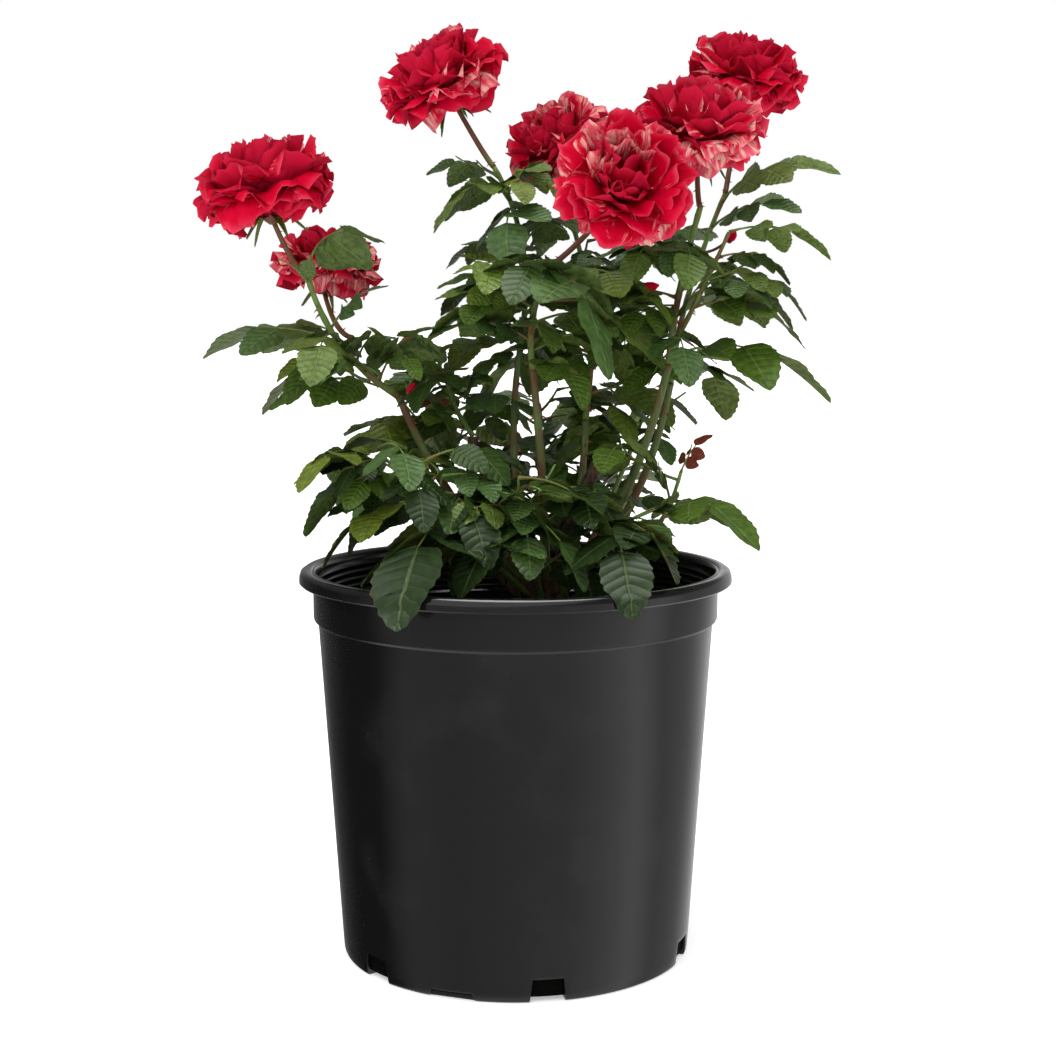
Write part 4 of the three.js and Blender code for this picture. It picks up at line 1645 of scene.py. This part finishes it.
@dataclass(frozen=True)
class Petal:
    """The shape of a ruffled petal, in shares of its bloom's radius unless said otherwise."""

    rows: int = 6
    columns: int = 11
    base: Pair = (0.03, -0.32)  # out from the bloom's middle and up
    knee_out: Pair = (0.2, 0.74)  # innermost and outermost petal
    knee_up: Pair = (0.08, 0.3)
    breadth: Pair = (0.32, 0.56)
    cup: Pair = (1.0, -0.3)
    cup_radius: Pair = (0.3, 0.75)
    ruffle: Pair = (0.085, 0.1)
    rounding: float = 0.3
    roll: float = 0.2  # in radians, either way
    jag: float = 0.034
    thickness: float = 0.4  # in millimetres

    def reach(self, lean: float) -> float:
        """How far from the bloom's middle the tip of a petal is that leans so many degrees out."""
        return float(np.interp(lean, (0, 30, 60, 90, 125), (0.62, 0.76, 0.92, 1.0, 0.8)))

    def grid(self, heading: float, lean: float, random: Seeded) -> np.ndarray:
        """One petal of a bloom of radius 1 that faces up from the origin.

        Args:
            heading: degrees round the bloom.
            lean: degrees that its tip leans out from the bloom's axis.
            random: the seeded run for its ruffles.

        Returns:
            Rows from root to tip of points from edge to edge.
        """
        out = min(lean / 125, 1.0)
        reach = self.reach(lean) * random.between(0.92, 1.05)
        tip = np.array([math.sin(math.radians(lean)), math.cos(math.radians(lean))]) * reach
        base = np.array(self.base)
        knee = np.array([mix(self.knee_out, out), mix(self.knee_up, out)])
        share = np.linspace(0, 1, self.rows)[:, None]
        across = np.linspace(1, -1, self.columns)[None, :]
        jag = np.array([random.swing(self.jag) for _ in range(self.columns)])[None, :]
        on = share * (1 - self.rounding * np.abs(across) ** 2.3) + share**3 * jag
        back = 1 - on
        line = [back**2 * base[k] + 2 * on * back * knee[k] + on**2 * tip[k] for k in (0, 1)]
        way = [back * (knee[k] - base[k]) + on * (tip[k] - knee[k]) for k in (0, 1)]
        size = np.maximum(np.hypot(*way), 1e-6)
        inner = (-way[1] / size, way[0] / size)
        half = mix(self.breadth, out) * random.between(0.82, 1.16)
        half = half * (0.24 + 0.76 * np.sin(np.minimum(share / 0.72, 1) * math.pi / 2))
        half = half * (1 - 0.3 * np.clip(share / 0.3 - 2.33, 0, 1) ** 2)
        bend = mix(self.cup_radius, out)
        angle = across * half / bend
        waves = random.between(3, 5.4)
        ruffle = np.sin(across * waves + random() * 6.3)
        ruffle = ruffle + 0.5 * np.sin(across * waves * 1.9 + random() * 6.3)
        raised = mix(self.cup, out) * bend * (1 - np.cos(angle))
        raised = raised + mix(self.ruffle, out) * share**2 * ruffle - 0.1 * out * share**4
        raised = raised + random.swing(self.roll) * share * across * half
        outward = pointing(heading, 0)
        aside = np.array(UP.cross(outward))
        radial = line[0] + raised * inner[0]
        upward = line[1] + raised * inner[1]
        return (
            radial[:, :, None] * np.array(outward)
            + (bend * np.sin(angle))[:, :, None] * aside
            + upward[:, :, None] * np.array(UP)
        )


PETAL = Petal()


def on_axis(facing: Vector) -> np.ndarray:
    """The turn, as a matrix of rows, from a thing that faces up to one that faces so."""
    return np.array(UP.rotation_difference(facing).to_matrix())


@dataclass(frozen=True)
class Bloom:
    """A large double rose on its hip and stalk."""

    name: str
    on: str
    at: Triple
    faces: Triple
    size: float
    seed: int
    foot: Triple | None = None
    stripes: float = 0.15
    pale_side: float = 0  # the heading round its own axis on which more petals are striped
    petals: int = 66
    leans: Pair = (8, 124)
    hip: float = 0.14  # these three are shares of the bloom's radius
    hip_below: float = 0.44
    flare: float = 0.3
    stalk: Pair = (1.9, 1.6)
    sepals: int = 5

    @property
    def radius(self) -> float:
        """Half its size."""
        return self.size / 2

    @property
    def facing(self) -> Vector:
        """The way it faces."""
        return Vector(self.faces).normalized()

    @property
    def plain(self) -> str:
        """Its name without what kind it is."""
        return self.name.removeprefix("bloom_")

    def grow(self, bush: "Bush") -> Bend:
        """Its stalk's line.

        Args:
            bush: the bush that it grows in.

        Returns:
            The line from its foot to just inside its hip.
        """
        foot = bush.foot_on(self.on, self.foot)
        neck = Vector(self.at) - self.facing * self.radius * self.hip_below
        bent = foot.lerp(neck, 0.5) - self.facing * self.radius * self.flare
        return Bend(foot, bent, neck + self.facing * self.radius * 0.06)

    def beads(self) -> tuple[np.ndarray, np.ndarray]:
        """The round space that leaves keep out of.

        Returns:
            The middles and radii of two beads.
        """
        points = [Vector(self.at) + self.facing * self.radius * up for up in (-0.05, 0.2)]
        return np.array(points), np.array([0.84, 0.7]) * self.radius

    def marking(self, heading: float, fine: Seeded) -> Marking:
        """How the petal on a heading is marked.

        Args:
            heading: degrees round the bloom.
            fine: the run that picks it.

        Returns:
            The row of the petal map.
        """
        near = math.cos(math.radians(heading - self.pale_side))
        stripes = self.stripes * float(np.interp(near, (-0.2, 0.5), (0.3, 1.8)))
        chance = fine()
        if chance < stripes:
            return Marking.STRIPED
        return Marking.FLECKED if chance < stripes + 0.35 else Marking.RED

    def head(self) -> None:
        """Makes the petals."""
        fine = Seeded(self.seed * 97 + 3)
        sheets = Sheets(*PETAL_CELLS)
        turn = on_axis(self.facing)
        for i in range(self.petals):
            share = (i / (self.petals - 1)) ** 0.8
            lean = mix(self.leans, share) + fine.swing(10)
            heading = i * GOLDEN_ANGLE + fine.swing(24)
            grid = PETAL.grid(heading, lean, fine)
            placed = grid @ turn.T * self.radius + np.array(self.at)
            column = int(fine() * PETAL_CELLS[0])
            front = (column, self.marking(heading, fine))
            sheets.add(placed, PETAL.thickness, front, (column, Marking.BACK))
        settle(sheets.made(f"petals_{self.plain}"), Look.PETAL.value, [self.name])

    def support(self, bush: "Bush", line: Bend) -> None:
        """Makes the stalk, the hip and its sepals.

        Args:
            bush: the bush that it grows in.
            line: the stalk's line.
        """
        fine = Seeded(self.seed * 53 + 1)
        radius, facing = self.radius, self.facing
        limb = Tubes()
        limb.add(line.points(14), np.linspace(*self.stalk, 14), 8)
        neck = line.tip
        rise = np.linspace(-0.04, 0.24, 7) * radius
        swell = np.interp(np.linspace(0, 1, 7), (0, 0.3, 0.7, 1), (0.35, 0.95, 1.0, 0.7))
        limb.add(np.array([neck + facing * r for r in rise]), swell * self.hip * radius, 10)
        thorns_on(bush.thorns, line, (1.2, 1.0), (0.1, 0.9), 5, Seeded(self.seed))
        turn = on_axis(facing)
        for i in range(self.sepals):
            outward = pointing(i * 72 + fine.swing(12), 0)
            aside = UP.cross(outward)
            share = np.linspace(0, 1, 7)[:, None]
            out = self.hip * 0.6 + share * 0.34
            drop = 0.1 - share**1.4 * fine.between(0.2, 0.42)
            half = 0.07 * (1 - share) ** 0.7 + 0.004
            across = np.linspace(1, -1, 3)[None, :]
            grid = (
                (out * np.ones_like(across))[:, :, None] * np.array(outward)
                + (half * across)[:, :, None] * np.array(aside)
                + ((drop + 0.03 * np.abs(across)) * np.ones_like(out))[:, :, None] * np.array(UP)
            )
            placed = grid @ turn.T * radius + np.array(neck)
            bush.sepals.add(placed, 0.5, Tint.FRESH.front, Tint.FRESH.back)
        settle(limb.made(f"stalk_{self.plain}"), Look.STALK.value, [self.name])

    def build(self, bush: "Bush", line: Bend) -> None:
        """Makes the bloom and what carries it."""
        self.head()
        self.support(bush, line)


@dataclass(frozen=True)
class Bud:
    """A closed red bud on a short stalk."""

    on: str
    share: float  # of the limb it stands on
    at: Triple
    size: float = 9
    petals: int = 6
    sepals: int = 5

    def build(self, bush: "Bush", stalks: Tubes, petals: Sheets) -> None:
        """Adds its stalk, its petals and its sepals.

        Args:
            bush: the bush that it grows in.
            stalks: what its stalk is added to.
            petals: what its petals are added to.
        """
        foot = bush.lines[self.on].at(self.share)
        tip = Vector(self.at)
        line = Bend.bowed(foot, tip, Vector((0, 0, -2)))
        stalks.add(line.points(8), np.linspace(1.1, 0.8, 8), 6)
        facing = line.along(1)
        turn = on_axis(facing)
        fine = Seeded(int(self.size * 100) + 13)
        share = np.linspace(0, 1, 5)[:, None]
        across = np.linspace(1, -1, 5)[None, :]
        belly = np.sin(math.pi * (0.1 + 0.86 * share)) * 0.36
        for i in range(self.petals + self.sepals):
            petal = i < self.petals
            turning = math.radians(i * GOLDEN_ANGLE) + across * (1.0 if petal else 0.5 * (1 - share))
            spread = belly * (1.0 if petal else 1.12) + 0.01 * (i % 3)
            rise = share * (1.5 if petal else 1.0) * np.ones_like(across)
            grid = np.stack([spread * np.cos(turning), spread * np.sin(turning), rise], axis=2)
            placed = grid @ turn.T * self.size + np.array(tip)
            if petal:
                petals.add(placed, 0.3, (int(fine() * PETAL_CELLS[0]), Marking.RED), (0, Marking.RED))
            else:
                bush.sepals.add(placed, 0.3, Tint.FRESH.front, Tint.FRESH.back)


# ---- the plant -----------------------------------------------------------------------------------

CANES = (
    Cane("cane_left", foot=(13, 3, 236), tip=(-75, 0, 362), bow=(-6, 0, -8), radius=(3.4, 2.4)),
    Cane("cane_middle", foot=(19, -4, 238), tip=(11, -20, 380), bow=(2, -6, 0),
        radius=(3.2, 2.3)),
    Cane("cane_middle_back", foot=(24, 14, 238), tip=(46, 30, 345), bow=(5, 4, -6),
        radius=(3, 2.2)),
    Cane("cane_inner_left", foot=(14, 13, 236), tip=(3, 16, 392), bow=(-9, 5, 0),
        radius=(2.7, 2.1)),
    Cane("cane_right_front", foot=(29, -3, 236), tip=(98, -4, 383), bow=(7, -2, -9),
        radius=(3.5, 2.5)),
    Cane("cane_right_back", foot=(30, 8, 234), tip=(101, 18, 370), bow=(10, 5, -12),
        radius=(3.2, 2.2)),
    Cane("old_cane_left", foot=(11, 10, 228), tip=(-28, 30, 334), bow=(-14, 8, -14),
        radius=(4.8, 3.6)),
    Cane("old_cane_right", foot=(27, 4, 240), tip=(53, 9, 318), bow=(-4, 2, -2),
        radius=(5.2, 4.2)),
)

SHOOTS = (
    Shoot("foliage_left_high", on="cane_left", tip=(-131, -14, 438), bow=(-7, -3, -6),
        radius=(2.3, 1.7), leaves=3, span=(0.12, 0.55), heading=60, turn=100, length=(84, 76),
        rise=(14, 20), droop=50, seed=117,
        aimed=((1, 336, 82, 86, 80), (0.9, 213, 55, 66, 50), (0.54, 180, 85, 22, 24),
            (0.4, 199, 51, 18, 36), (0.05, 186, 84, 28, 38), (0.27, 255, 72, 24, 26),
            (0.64, 9, 46, 62, 24), (0.16, 315, 68, 62, 34), (0.36, 299, 62, 50, 40))),
    Shoot("foliage_left_low", on="crown", foot=(11, -4, 232), tip=(-74, -38, 318),
        bow=(-10, -8, 8), radius=(2.1, 1.4), leaves=2, span=(0.5, 0.9), heading=120, turn=60,
        length=(80, 80), rise=(16, 16), droop=52, seed=231,
        aimed=((1, 182, 69, 32, 40), (0.92, 220, 53, 22, 44), (0.7, 202, 77, 2, 36),
            (0.42, 253, 130, 32, 62), (0.8, 178, 61, -4, 50)), pitch=15, small=(48, 78), dark=True,
    ),
    Shoot("foliage_inner_left", on="old_cane_left", tip=(-43, 24, 372), bow=(-6, 2, 4),
        radius=(1.8, 1.2), leaves=4, span=(0.3, 1), heading=205, turn=137, length=(66, 74),
        rise=(22, 30), droop=52, seed=305,
        aimed=((0.5, 221, 28, 24, 30), (0.7, 306, 44, 44, 40), (0.8, 149, 46, 74, 36),
            (0.15, 163, 60, 22, 50)), pitch=18, small=(44, 72),
    ),
    Shoot("foliage_middle", on="cane_middle", tip=(24, -19, 446), bow=(-6, -2, 2),
        radius=(2.2, 1.8), leaves=2, span=(0.1, 0.5), heading=100, turn=80, length=(84, 70),
        rise=(20, 20), droop=50, seed=442,
        aimed=((0.97, 255, 78, 20, 40), (0.4, 352, 92, 28, 50), (0.3, 290, 56, 42, 60),
            (0.72, 298, 118, 38, 86), (0.55, 173, 62, 32, 26), (0.9, 344, 87, 16, 40),
            (0.25, 188, 65, 36, 36), (0.04, 309, 64, 24, 60), (0.8, 30, 72, 32, 40)), pitch=26,
    ),
    Shoot("foliage_middle_left", on="cane_inner_left", tip=(-14, 20, 509), bow=(10, 2, 6),
        radius=(2, 1.6), leaves=2, span=(0.08, 0.2), heading=70, turn=-70, length=(76, 60),
        rise=(26, 26), droop=50, seed=523,
        aimed=((0.92, 203, 52, 32, 28), (0.86, 308, 44, 42, 34), (0.78, 229, 83, 42, 74),
            (0.68, 261, 80, 28, 70), (0.5, 304, 51, 52, 40), (0.25, 169, 60, 40, 36),
            (0.1, 252, 51, 28, 44), (0.03, 187, 70, 14, 30), (0.01, 204, 52, -6, 40))),
    Shoot("foliage_middle_back", on="cane_middle_back", tip=(36, 44, 478), bow=(8, 6, 2),
        radius=(2.1, 1.6), leaves=5, span=(0.12, 0.92), heading=40, turn=139, length=(96, 70),
        rise=(16, 26), droop=44, seed=648,
        aimed=((0.3, 238, 50, 18, 44), (0.62, 217, 58, 24, 40))),
    Shoot("foliage_right_front", on="cane_right_front", tip=(117, -6, 482), bow=(-3, 0, -3),
        radius=(2.3, 1.8), leaves=3, span=(0.2, 0.7), heading=150, turn=60, length=(84, 76),
        rise=(14, 22), droop=48, seed=719,
        aimed=((0.3, 329, 56, 64, 50), (0.05, 356, 108, 24, 44), (0.16, 278, 69, 26, 60),
            (0.4, 227, 55, 8, 30), (0.66, 197, 57, 32, 22), (0.8, 247, 53, 20, 60)), pitch=50,
    ),
    Shoot("foliage_right_back", on="cane_right_back", tip=(139, 55, 494), bow=(-6, 5, -5),
        radius=(2, 1.6), leaves=4, span=(0.12, 0.8), heading=62, turn=140, length=(88, 72),
        rise=(14, 22), droop=46, seed=804,
        aimed=((0.2, 234, 67, -12, 44), (0.95, 346, 88, 58, 56), (0.84, 326, 67, 38, 34),
            (0.66, 352, 59, 12, 46)), pitch=60,
    ),
    Shoot("foliage_right_side", on="foliage_right_front", foot=(100, -5, 392),
        tip=(134, -20, 466), bow=(2, -4, 4), radius=(1.6, 1.2), leaves=0, span=(0, 1), heading=0,
        turn=0, length=(80, 80), rise=(10, 10), droop=50, seed=915,
        aimed=((1, 0, 64, 20, 40), (0.74, 15, 54, 22, 46), (0.32, 353, 76, 20, 42),
            (0.5, 330, 52, 24, 50)), pitch=50,
    ),
    Shoot("foliage_right_low", on="crown", foot=(34, -5, 230), tip=(104, -34, 316),
        bow=(10, -7, -8), radius=(1.8, 1.1), leaves=0, span=(0.6, 0.9), heading=60, turn=130,
        length=(56, 50), rise=(30, 40), droop=50, seed=1021,
        aimed=((0.62, 334, 98, 70, 84), (1, 15, 31, 70, 20), (0.83, 209, 52, 78, 30)), pitch=60,
    ),
    Shoot("foliage_base_front", on="crown", foot=(18, -9, 230), tip=(2, -62, 292),
        bow=(-2, -6, 8), radius=(2, 1.3), leaves=2, span=(0.4, 0.8), heading=0, turn=180,
        length=(76, 76), rise=(0, 6), droop=50, seed=1147,
        aimed=((1, 222, 57, 38, 50), (0.95, 315, 49, 58, 44), (0.7, 240, 79, 24, 60),
            (0.8, 278, 70, 26, 58), (0.6, 206, 76, 34, 40)), pitch=9, small=(52, 84), dark=True,
    ),
    Shoot("foliage_base_right", on="crown", foot=(27, -8, 230), tip=(56, -50, 286),
        bow=(6, -5, 6), radius=(1.8, 1.2), leaves=2, span=(0.5, 0.9), heading=60, turn=60,
        length=(76, 70), rise=(14, 14), droop=50, seed=1233,
        aimed=((0.92, 278, 103, 22, 60), (1, 302, 79, 18, 44), (0.8, 335, 36, 26, 40)), pitch=11,
        small=(50, 80), dark=True,
    ),
    Shoot("foliage_back_left", on="crown", foot=(14, 14, 230), tip=(-62, 62, 344),
        bow=(-8, 10, 6), radius=(2.1, 1.4), leaves=7, span=(0.34, 1), heading=150, turn=133,
        length=(92, 88), rise=(4, 20), droop=50, seed=1319, pitch=24, small=(44, 76),
    ),
    Shoot("foliage_back_right", on="crown", foot=(31, 14, 230), tip=(88, 74, 350),
        bow=(6, 10, 4), radius=(2.1, 1.4), leaves=5, span=(0.6, 1), heading=95, turn=35,
        length=(92, 90), rise=(16, 28), droop=50, seed=1427, pitch=24, small=(44, 76),
    ),
    Shoot("foliage_back_middle", on="crown", foot=(22, 17, 230), tip=(16, 84, 352),
        bow=(0, 8, 4), radius=(2, 1.3), leaves=7, span=(0.4, 1), heading=88, turn=128,
        length=(88, 80), rise=(6, 20), droop=54, seed=1511, pitch=20, small=(48, 80),
    ),
)

BLOOMS = (
    Bloom("bloom_left", on="foliage_left_high", at=(-155, -22, 491), faces=(-0.2, -0.12, 1),
        size=98, seed=21, stripes=0.06),
    Bloom("bloom_left_low", on="foliage_left_high", foot=(-104, -7, 400), at=(-125, 48, 444),
        faces=(0.15, 0.1, 1), size=80, seed=34, stripes=0.8),
    Bloom("bloom_top_left", on="foliage_middle_left", at=(-45, 20, 562),
        faces=(-0.42, -0.3, 0.86), size=90, seed=47, stripes=0.2, pale_side=350),
    Bloom("bloom_middle_back", on="foliage_middle_back", at=(28, 46, 525),
        faces=(-0.5, -0.45, 0.75), size=80, seed=59, stripes=0.6, pale_side=320),
    Bloom("bloom_middle", on="foliage_middle", at=(66, -58, 494), faces=(0.12, -0.86, 0.42),
        size=92, seed=63, stripes=0.35, pale_side=135),
    Bloom("bloom_right", on="foliage_right_front", at=(116, -3, 530), faces=(0.02, -0.42, 0.9),
        size=92, seed=76, stripes=0.5, pale_side=330),
    Bloom("bloom_top_right", on="foliage_right_back", at=(153, 76, 571),
        faces=(0.12, -0.25, 0.96), size=88, seed=88, stripes=0.15, pale_side=180),
)

BUDS = (
    Bud("foliage_middle", 0.62, (77, -24, 430)),
    Bud("foliage_middle", 0.78, (61, -14, 438), 7),
    Bud("foliage_right_back", 0.72, (137, 22, 462), 8),
    Bud("cane_left", 0.97, (-68, -8, 362), 8),
)


@dataclass
class Bush:
    """The whole plant: crown, canes, leafy shoots, blooms and buds."""

    crown: Crown = field(default_factory=Crown)
    canes: tuple[Cane, ...] = CANES
    shoots: tuple[Shoot, ...] = SHOOTS
    blooms: tuple[Bloom, ...] = BLOOMS
    buds: tuple[Bud, ...] = BUDS
    leeway: float = 5  # how far a leaf may reach past the solid of its mass
    samples: int = 48  # beads along a limb that leaves keep clear of
    lines: dict[str, Bend] = field(default_factory=dict)
    hindrances: Hindrances = field(default_factory=Hindrances)
    thorns: Tubes = field(default_factory=Tubes)
    sepals: Sheets = field(default_factory=lambda: Sheets(*LEAF_CELLS))

    def foot_on(self, on: str, foot: Triple | None) -> Vector:
        """Where a limb starts: at a given foot, or just past the tip of what it stands on.

        Args:
            on: what the limb stands on.
            foot: its foot, if that is given.

        Returns:
            The point.
        """
        if foot is not None:
            return Vector(foot)
        line = self.lines[on]
        return line.tip + line.along(1) * GAP

    def grow(self) -> None:
        """Grows the lines of all limbs and notes the space they take."""
        for limb in (*self.canes, *self.shoots, *self.blooms):
            line = self.lines[limb.name] = limb.grow(self)
            radius = limb.stalk if isinstance(limb, Bloom) else limb.radius
            radii = np.linspace(*radius, self.samples) + 1
            self.hindrances.add(limb.name, line.points(self.samples), radii)
        for bloom in self.blooms:
            self.hindrances.add(f"{bloom.name}_head", *bloom.beads())

    def build(self) -> None:
        """Builds all pieces of the plant."""
        self.grow()
        self.crown.build()
        for limb in (*self.canes, *self.shoots, *self.blooms):
            limb.build(self, self.lines[limb.name])
        stalks, petals = Tubes(), Sheets(*PETAL_CELLS)
        for bud in self.buds:
            bud.build(self, stalks, petals)
        settle(stalks.made("bud_stalks"), Look.STALK.value)
        settle(petals.made("bud_petals"), Look.PETAL.value)
        settle(self.sepals.made("sepals"), Look.LEAF.value)
        settle(self.thorns.made("thorns"), Look.THORN.value)


# ---- studio --------------------------------------------------------------------------------------


@dataclass(frozen=True)
class Studio:
    """A pale floor in soft light, and the camera.

    What gleams on smooth surfaces round the horizon is given by heading: 0 is behind the camera, -90
    on its left.
    """

    eye: Triple = (8.05, -1205.7, 421.8)  # where the camera stands
    dip: float = 6.85  # degrees that the camera looks down
    lens: float = 63.8
    floor: float = 60000
    gleams: tuple[Pair, ...] = (
        (-180, 0.35), (-150, 0.1), (-122, 0.01), (-92, 0.0), (-70, 0.36), (-36, 0.32), (-14, 0.4),
        (30, 0.5), (46, 0.66), (64, 0.9), (80, 1.15), (100, 0.48), (128, 0.42), (150, 0.65), (180, 0.85),
    )
    gap: float = 0.14  # how bright it is between the walls' gleams and the light overhead
    overhead: float = 8
    ambient: float = 0.86  # what lights all that doesn't gleam
    sun: float = 1.4
    sun_spread: float = 90
    sun_from: Triple = (-0.5, -0.9, 1.5)

    def sky(self) -> None:
        """Pale light from all round and from above, with a white backdrop."""
        world = bpy.data.worlds.new("studio_light")
        bpy.context.scene.world = world
        world.use_nodes = True
        shader = Shader(world.node_tree)
        way = shader.node("ShaderNodeTexCoord", output="Generated")
        x, y, z = shader.split(way)
        turn = shader.maths("ARCTAN2", x, y * -1.0) / (2 * math.pi) + 0.5
        stops = [((heading + 180) / 360, grey(level)) for heading, level in self.gleams]
        level = shader.node("ShaderNodeValToRGB", {"stops": stops}, {0: turn})
        wall = shader.mix(z.clipped(0.15, 0.4), level, grey(self.gap))
        above = shader.mix(z.clipped(0.9, 0.95), wall, grey(self.overhead))
        gleam = shader.mix((0.0 - z).clipped(0.6, 0.8), above, grey(1.0))
        glossy = shader.node("ShaderNodeLightPath", output="Is Glossy Ray")
        light = shader.mix(glossy, grey(self.ambient), gleam)
        seen = shader.node("ShaderNodeLightPath", output="Is Camera Ray")
        shown = shader.mix(seen, light, grey(1.0))
        surface = shader.node("ShaderNodeBackground", None, {"Color": shown})
        shader.node("ShaderNodeOutputWorld", None, {"Surface": surface})

    def lamp(self) -> None:
        """Hangs a broad soft sun above the camera."""
        light = bpy.data.lights.new("soft_sun", "SUN")
        light.energy = self.sun
        light.angle = math.radians(self.sun_spread)
        lamp = bpy.data.objects.new("soft_sun", light)
        lamp.rotation_euler = (-Vector(self.sun_from)).to_track_quat("-Z", "Y").to_euler()
        bpy.context.collection.objects.link(lamp)

    def ground(self) -> None:
        """Lays the floor."""
        deselect()
        bpy.ops.mesh.primitive_plane_add(size=self.floor * MM, location=(0, 0, 0))
        floor = bpy.context.object
        floor.name = "studio_floor"
        floor.data.materials.append(Look.PAPER.value.material())
        floor.visible_glossy = False

    def camera(self) -> None:
        """Sets up the camera."""
        lens = bpy.data.cameras.new("front")
        lens.lens = self.lens
        lens.sensor_width = 36
        view = bpy.data.objects.new("front", lens)
        view.location = Vector(self.eye) * MM
        view.rotation_euler = (math.radians(90 - self.dip), 0, 0)
        bpy.context.collection.objects.link(view)
        bpy.context.scene.camera = view

    def build(self) -> None:
        """Sets up the studio."""
        bpy.context.scene.view_settings.view_transform = "Standard"
        self.sky()
        self.ground()
        self.lamp()
        self.camera()


def main() -> None:
    """Builds the bush in its pot, and the studio."""
    logging.basicConfig(level=logging.INFO, format="%(message)s")
    for thing in (POT, PottingMix(), Bush(), Studio()):
        thing.build()


if __name__ == "__main__":
    main()
